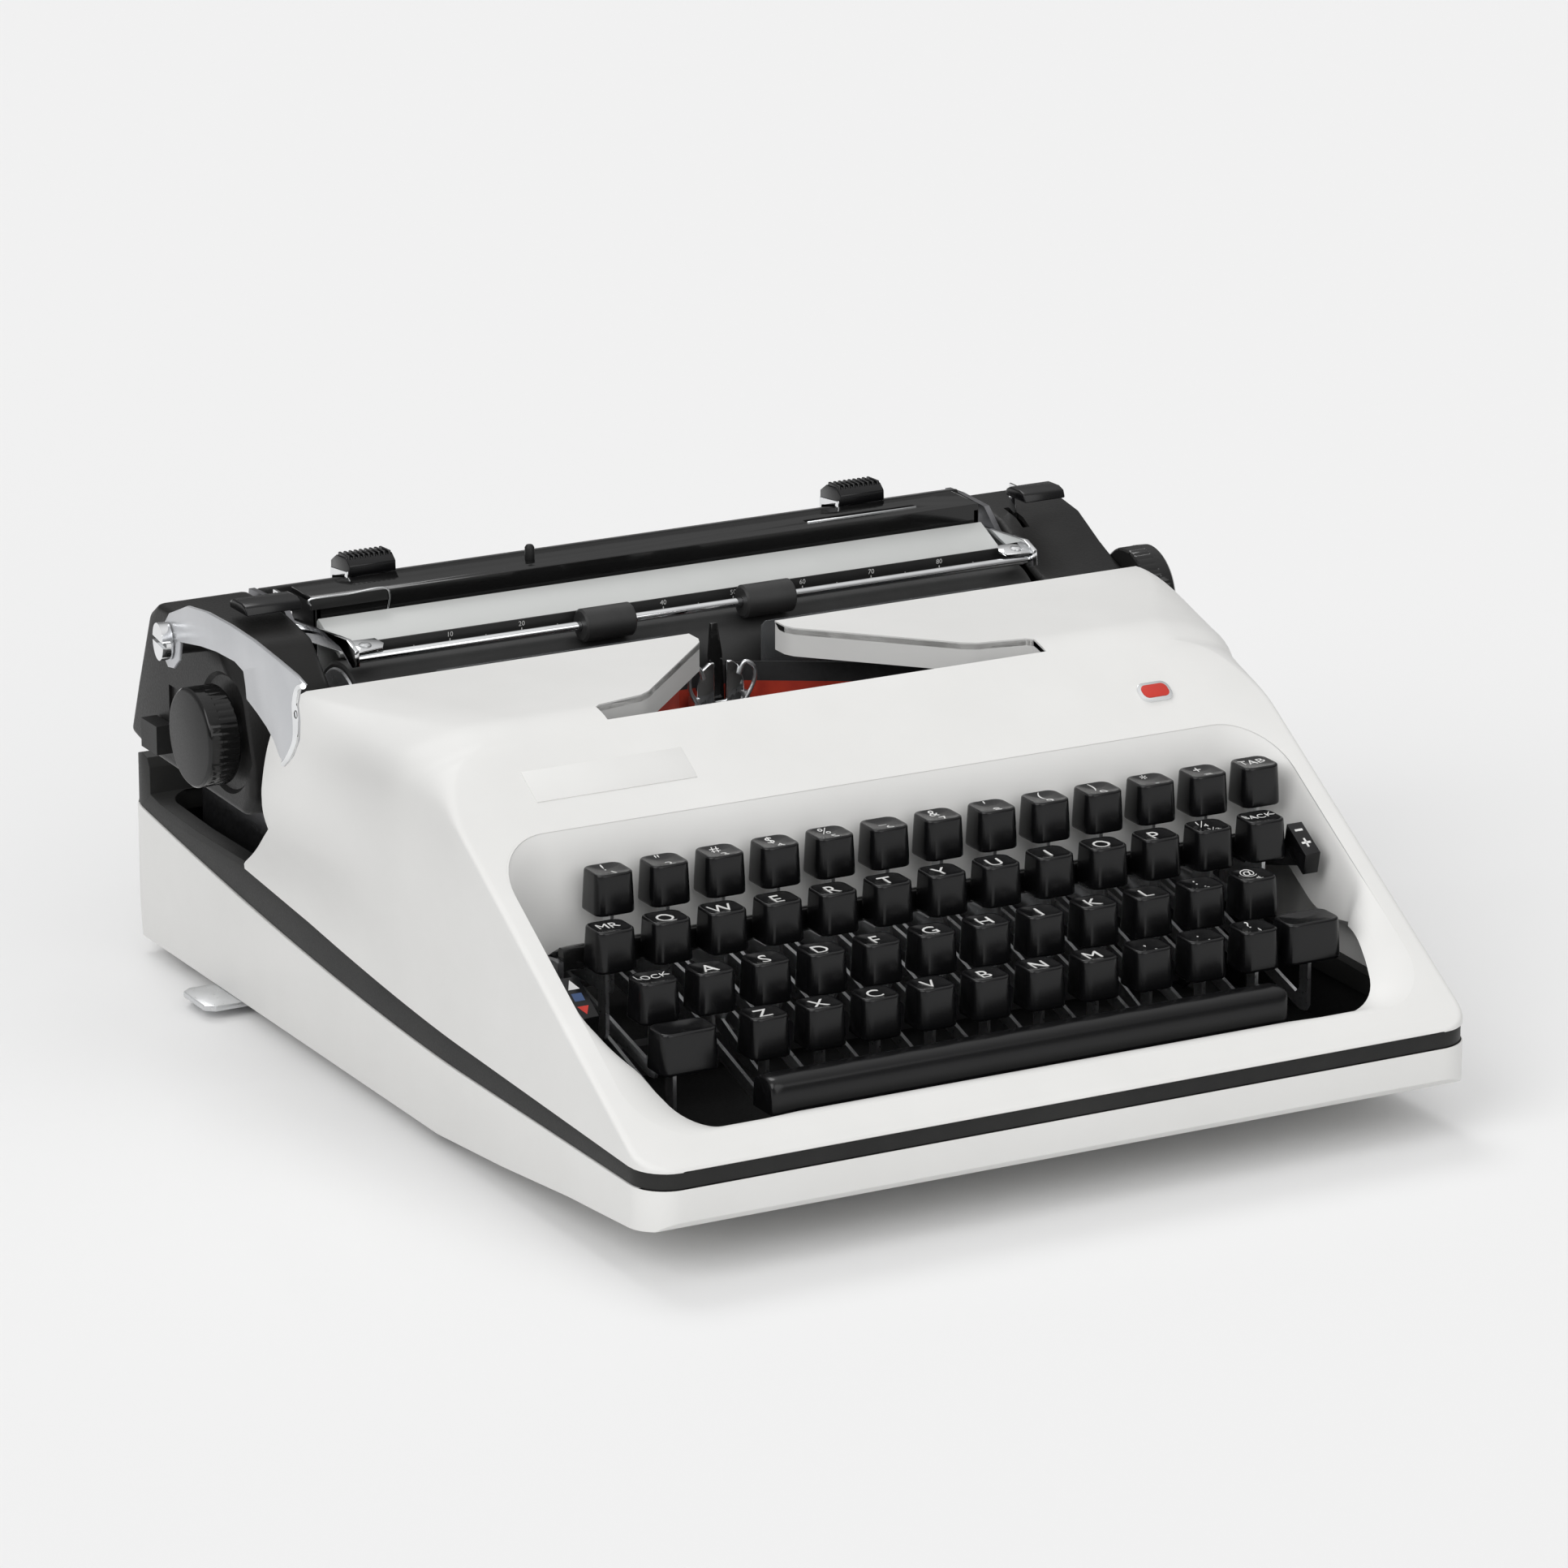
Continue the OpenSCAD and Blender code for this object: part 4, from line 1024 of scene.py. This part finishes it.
def paper_bail():
    p = [[], [], []]
    add(p, *rod((-122, *BAIL_ROD), (122, *BAIL_ROD), 1.5, 24, 0.3))
    add(p, *box_mesh((-121.9, 59.2, 126.4), (121.9, 60.0, 131.4)), 1)
    for s in (-1, 1):
        arm = [(50.6, 126.4), (54, 125.2), (60, 129), (96, 124.6), (101, 124.2), (102, 127), (100.6, 129.8),
               (96, 130.5), (66, 133), (57, 133.8), (51, 131.6)]
        add(p, *prism(arm, "x", s * 122 - (1.6 if s < 0 else 0), s * 122 + (1.6 if s > 0 else 0)))
        add(p, *rod((s * 123, 98, 127), (s * 129, 98, 127), 1.95, 20))
        foot = [(s * 122, 51.6), (s * 113, 52.6), (s * 111.5, 55), (s * 113, 58.6), (s * 122, 59)]
        add(p, *loft([[(x, y, 130.2 + (y - 52) * 0.25) for x, y in foot],
                      [(x, y, 131.0 + (y - 52) * 0.25) for x, y in foot]]))
        add(p, *spun([(0.6, 2.3), (1.3, 2.1), (1.9, 1.3)], (s * 118, 55.4, 130.6), "z", 20), 2)
    ob = finish_parts("bail_bar", p, [CHROME, SATIN, STEEL], "bail", 35, 0.2, 2)
    t = [[], [], []]
    for i in range(89):
        x = (i - 44) * UNIT
        h = 2.0 if i % 10 == 0 else (1.5 if i % 5 == 0 else 0.9)
        add(t, *box_mesh((x - 0.14, 59.13, 126.6), (x + 0.14, 59.3, 126.6 + h)))
        if i % 10 == 0:
            add(t, *vertical_text(str(i), 2.3, x, 129.9, 59.2))
    ticks = finish_parts("bail_scale", t, LEGEND, "bail")
    for o in (ob, ticks):
        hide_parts("paper_bail")
    r, bores = [[], [], []], [[], [], []]
    for x in (-34, 24):
        add(r, *spun([(-9, 4.7), (-8.4, 5.4), (8.4, 5.4), (9, 4.7)], (x, *BAIL_ROD), "x", 40))
        add(bores, *spun([(-12, 1.62), (12, 1.62)], (x, *BAIL_ROD), "x", 24))
    rollers = finish_parts("bail_rubbers", r, RUBBER, "bail_rollers", 40)
    boolean(rollers, raw(bores[0], bores[1]))
    shade(rollers, 35)
    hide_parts("bail_rollers")


def release_tabs():
    for node, x0, x1, sx, p0, p1 in (("paper_release", 133.5, 149, 139.5, 127.5, 139.9),
                                     ("platen_release", -149, -129.6, -130, -130.4, -127.5)):
        tab = mesh_object(node + "_tab", *prism([(76, 139.9), (77.2, 142.6), (80, 143.4), (86.5, 143.2), (89, 142),
                                                 (89, 139.8)], "x", x0, x1), KEY, node, 35)
        bevel(tab, 0.6, 3, 30)
        p = [[], [], []]
        add(p, *prism([(84, 139.0), (84, 141.4), (96.5, 141.4), (96.5, 97.5), (92.5, 97.5), (92.5, 139.0)], "x",
                      sx - 0.4, sx + 0.4))
        add(p, *rod((p0, 94.5, 100), (p1, 94.5, 100), 1.5))
        stem = finish_parts(node + "_stem", p, CHROME, node, 35, 0.12, 2)
        for o in (tab, stem):
            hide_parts(node)


def margin_stops():
    for node, x in (("margin_stop_left", -91.3), ("margin_stop_right", 88.0)):
        p = [[], [], []]
        add(p, *prism([(106, 127), (108.4, 127), (108.4, 138.7), (117.6, 136.6), (117.6, 128.6), (109, 128.4),
                       (109, 127.4), (119, 127.4), (119, 139), (106, 140.6)], "x", x - 8.5, x + 8.5), 1)
        add(p, *prism([(104.6, 139.2), (119, 138.2), (119, 141.4), (115, 144.0), (107.4, 144.6), (104.8, 142.6)], "x",
                      x - 8.2, x + 8.2), 0)
        for i in range(9):
            cx = x - 7.2 + i * 1.8
            rib = [(106.6, 143.6), (114.8, 143.4), (114.4, 145.1), (107.2, 145.4)]
            add(p, *prism(rib, "x", cx - 0.5, cx + 0.5))
        ob = finish_parts(node + "_slide", p, [KEY, CHROME], node.replace("_stop", ""), 35, 0.3, 2)
        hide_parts(node)


def carriage_top():
    rail = mesh_object("rear_bar", *prism([(109, 129), (117, 129), (117, 136), (109, 138)], "x", -127, 127), SATIN,
                       "carriage")
    bevel(rail, 0.8, 3, 30)
    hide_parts("rear_rail")
    prof = [(85, 122), (87, 122), (87, 137.5), (103, 137.5), (103, 139.5), (85, 139.5)]
    sup = mesh_object("support_bar", *prism(prof, "x", -121, 121), GLOSS, "carriage")
    boolean(sup, raw(*box_mesh((60, 91.5, 130), (101, 94.5, 145))))
    bevel(sup, 0.35, 2, 40)
    p = [[], [], []]
    for s in (-1, 1):
        add(p, *box_mesh((s * 120 - 1, 85, 83), (s * 120 + 1, 103, 137.5)))
    add(p, *box_mesh((-123, 83.9, 136.4), (-96, 84.9, 139.9)))
    add(p, *spun([(0, 1.6), (4.5, 1.6), (5.4, 1.0)], (-40, 95, 139), "z", 20))
    legs = finish_parts("support_legs", p, SATIN, "carriage", 35, 0.2, 2)
    c = [[], [], []]
    add(c, *wire([(-123, 84.2, 138), (-123, 84.0, 140.2), (-110, 84.0, 140.2), (-96.5, 84.0, 140.2), (-96, 84.4, 133)],
                 0.35))
    add(c, *rod((60, 91.6, 139.3), (101, 91.6, 139.3), 0.35))
    clip = finish_parts("support_clip", c, CHROME, "carriage", 50)
    for o in (sup, legs, clip):
        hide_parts("paper_support")
    table = mesh_object("table_plate", *prism([(67, 126.2), (83.5, 133.6), (84.5, 132.4), (84.5, 110), (83.6, 103),
                                               (82.4, 103.2), (83, 111), (83, 131.2), (68, 124.6)], "x", -121, 121),
                        TABLE, "carriage")
    bevel(table, 0.3, 2, 40)
    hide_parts("paper_table")


def printing_point():
    g = mesh_object("guide_plate", *prism([(-8.6, 90), (8.6, 90), (9, 98), (8.4, 107), (6.6, 112), (4, 114), (-4, 114),
                                           (-6.6, 112), (-8.4, 107), (-9, 98)], "y", 39.0, 40.6), CHROME, "base")
    boolean(g, raw(*prism([(-2.2, 101), (2.2, 101), (2.2, 120), (-2.2, 120)], "y", 30, 50)))
    bevel(g, 0.5, 3, 30)
    p = [[], [], []]
    for s in (-1, 1):
        add(p, *box_mesh((s * 9 - 1, 38, 63), (s * 9 + 1, 42.5, 103)))
        add(p, *wire([(s * 8.2, 38.4, 100), (s * 11.5, 38.2, 106), (s * 11.5, 38.2, 111), (s * 8.4, 38.6, 113),
                      (s * 6.4, 38.8, 109)], 0.7))
        add(p, *box_mesh((s * 29 - 1, 30, 19), (s * 29 + 1, 44, 60)))
        add(p, *rod((s * 19, 22, 62), (s * 19, 22, 72.2), 1.95))
    add(p, *box_mesh((-30, 18, 60), (30, 44, 63)))
    add(p, *box_mesh((-126, 34, 14), (126, 42, 19)))
    frame_bits = finish_parts("guide_frame", p, STEEL, "base", 35, 0.15, 2)
    blade = [(-2.4, 100), (2.4, 100), (1.6, 116), (-0.2, 126.5), (-2.6, 126.5), (-3.4, 116)]
    finger = mesh_object("guide_finger", *prism(blade, "y", 40.9, 42.2), GLOSS, "base")
    bevel(finger, 0.3, 2, 40)
    for o in (g, frame_bits, finger):
        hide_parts("type_guide")
    run = Vector((65.5, 38.3))                 # from the guide to the rim of a spool
    n = Vector((run.x, -run.y)).normalized() * (run.length - 1)
    a, b = (12, 44.9), (12 + n.x, 44.9 + n.y)
    for name, z0, z1, mat in (("ribbon_lower", 98.0, 104.5, INK_RED), ("ribbon_upper", 104.5, 111.0, INK_BLACK)):
        p = [[], [], []]
        add(p, *box_mesh((-12, 44.9, z0), (12, 45.2, z1)))
        for s in (-1, 1):
            o = [(s * a[0], a[1]), (s * b[0], b[1]), (s * (b[0] + 0.2), b[1] + 0.3), (s * (a[0] + 0.2), a[1] + 0.3)]
            add(p, *prism(o, "z", z0, z1))
        ob = finish_parts(name, p, mat, "base")
        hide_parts("ribbon")
    for s, side in ((-1, "left"), (1, "right")):
        a, b = sorted((s * 17, s * 100))
        outline = [(a, 104.2), (b, 104.2), (b, 122.5), (b - 1.5, 124), (a + 1.5, 124), (a, 122.5)]
        ob = mesh_object("card_plate_" + side, *prism(outline, "y", 43.0, 43.8), SMOKE, "base")
        leg = box_mesh((s * 21 - 3, 43.05, 63), (s * 21 + 3, 43.75, 104))
        leg = mesh_object("card_leg_" + side, *leg, STEEL_DARK, "base")
        bevel(ob, 0.2, 2, 30)
        for o in (ob, leg):
            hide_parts("card_holders")


def guide_bar():
    ob = mesh_object("bar_behind_keys", *prism(rounded(-97.1, 69.5, -93.6, 77.0, 1.4, 5), "x", -126, 126), GLOSS,
                     "base")
    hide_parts("key_guide_bar")


# ---- look of the hidden frame
def dress(ob, mat):
    if not ob.material_slots:
        ob.data.materials.append(mat)
    for s in ob.material_slots:
        s.link = "OBJECT"
        s.material = mat


def carried():
    """CAD pieces whose shape is right keep it and get a finish."""
    for mat, names in (
            (STEEL_DARK, ("chassis_frame", "mainspring_drum", "carriage_frame")),
            (STEEL, ("carriage_rails", "lever_fulcrum", "type_segment", "typebars")),
            (SATIN, ("ribbon_spool_left", "ribbon_spool_right", "line_space_lever")),
            (CHROME, ("bell", "lever_screw")), (RUBBER, ("feed_rollers",))):
        for name in names:
            dress(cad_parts[name], mat)


# ---- stage
def stage():
    me = bpy.data.meshes.new("floor")
    me.from_pydata([(-14, -14, 0), (14, -14, 0), (14, 14, 0), (-14, 14, 0)], [], [(0, 1, 2, 3)])
    floor = linked("floor", me)
    m, _, bs = nodes_of("floor_pale")
    bs.inputs["Base Color"].default_value = (0.82, 0.82, 0.82, 1)
    bs.inputs["Roughness"].default_value = 0.9
    bs.inputs["Specular IOR Level"].default_value = 0.0
    me.materials.append(m)
    w = bpy.data.worlds.new("studio")
    bpy.context.scene.world = w
    w.use_nodes = True
    nt = w.node_tree
    tc = nt.nodes.new("ShaderNodeTexCoord")
    sp = nt.nodes.new("ShaderNodeSeparateXYZ")
    nt.links.new(tc.outputs["Generated"], sp.inputs["Vector"])
    tone = ramp(nt, sp.outputs["Z"], [(z, grey(v)) for z, v in ((0.0, 0.10), (0.35, 0.24), (1.0, 0.92))])
    nt.links.new(tone, nt.nodes["Background"].inputs["Color"])
    nt.nodes["Background"].inputs["Strength"].default_value = 1.0

    def sun(name, direction, strength, angle):
        li = bpy.data.lights.new(name, "SUN")
        li.energy = strength
        li.angle = math.radians(angle)
        linked(name, li).rotation_euler = Vector(direction).to_track_quat("-Z", "Y").to_euler()
    sun("key_left", (0.80, 0.30, -0.62), 1.22, 45)
    sun("front_fill", (0.0, 0.95, -0.50), 0.82, 50)
    sun("rear_top", (-0.05, -0.55, -0.80), 0.55, 25)


def camera():
    cam = bpy.data.cameras.new("camera")
    cam.sensor_width = 36
    cam.lens = 186.7
    cam.clip_end = 100
    ob = linked("camera", cam)
    ob.location = (-1.1695 + SHIFT * MM, -2.1636, 0.8516)
    ob.rotation_euler = (math.radians(90 - 17.34), 0, math.radians(-28.43))
    bpy.context.scene.camera = ob


for build in (tub, mid_deck, feet, cover, cover_trim, keys, thumb_controls, carriage_ends, return_lever,
              platen_parts, paper_bail, release_tabs, margin_stops, carriage_top, printing_point, guide_bar, carried,
              stage, camera):
    build()
bpy.context.scene.view_settings.view_transform = "Standard"
bpy.context.view_layer.update()
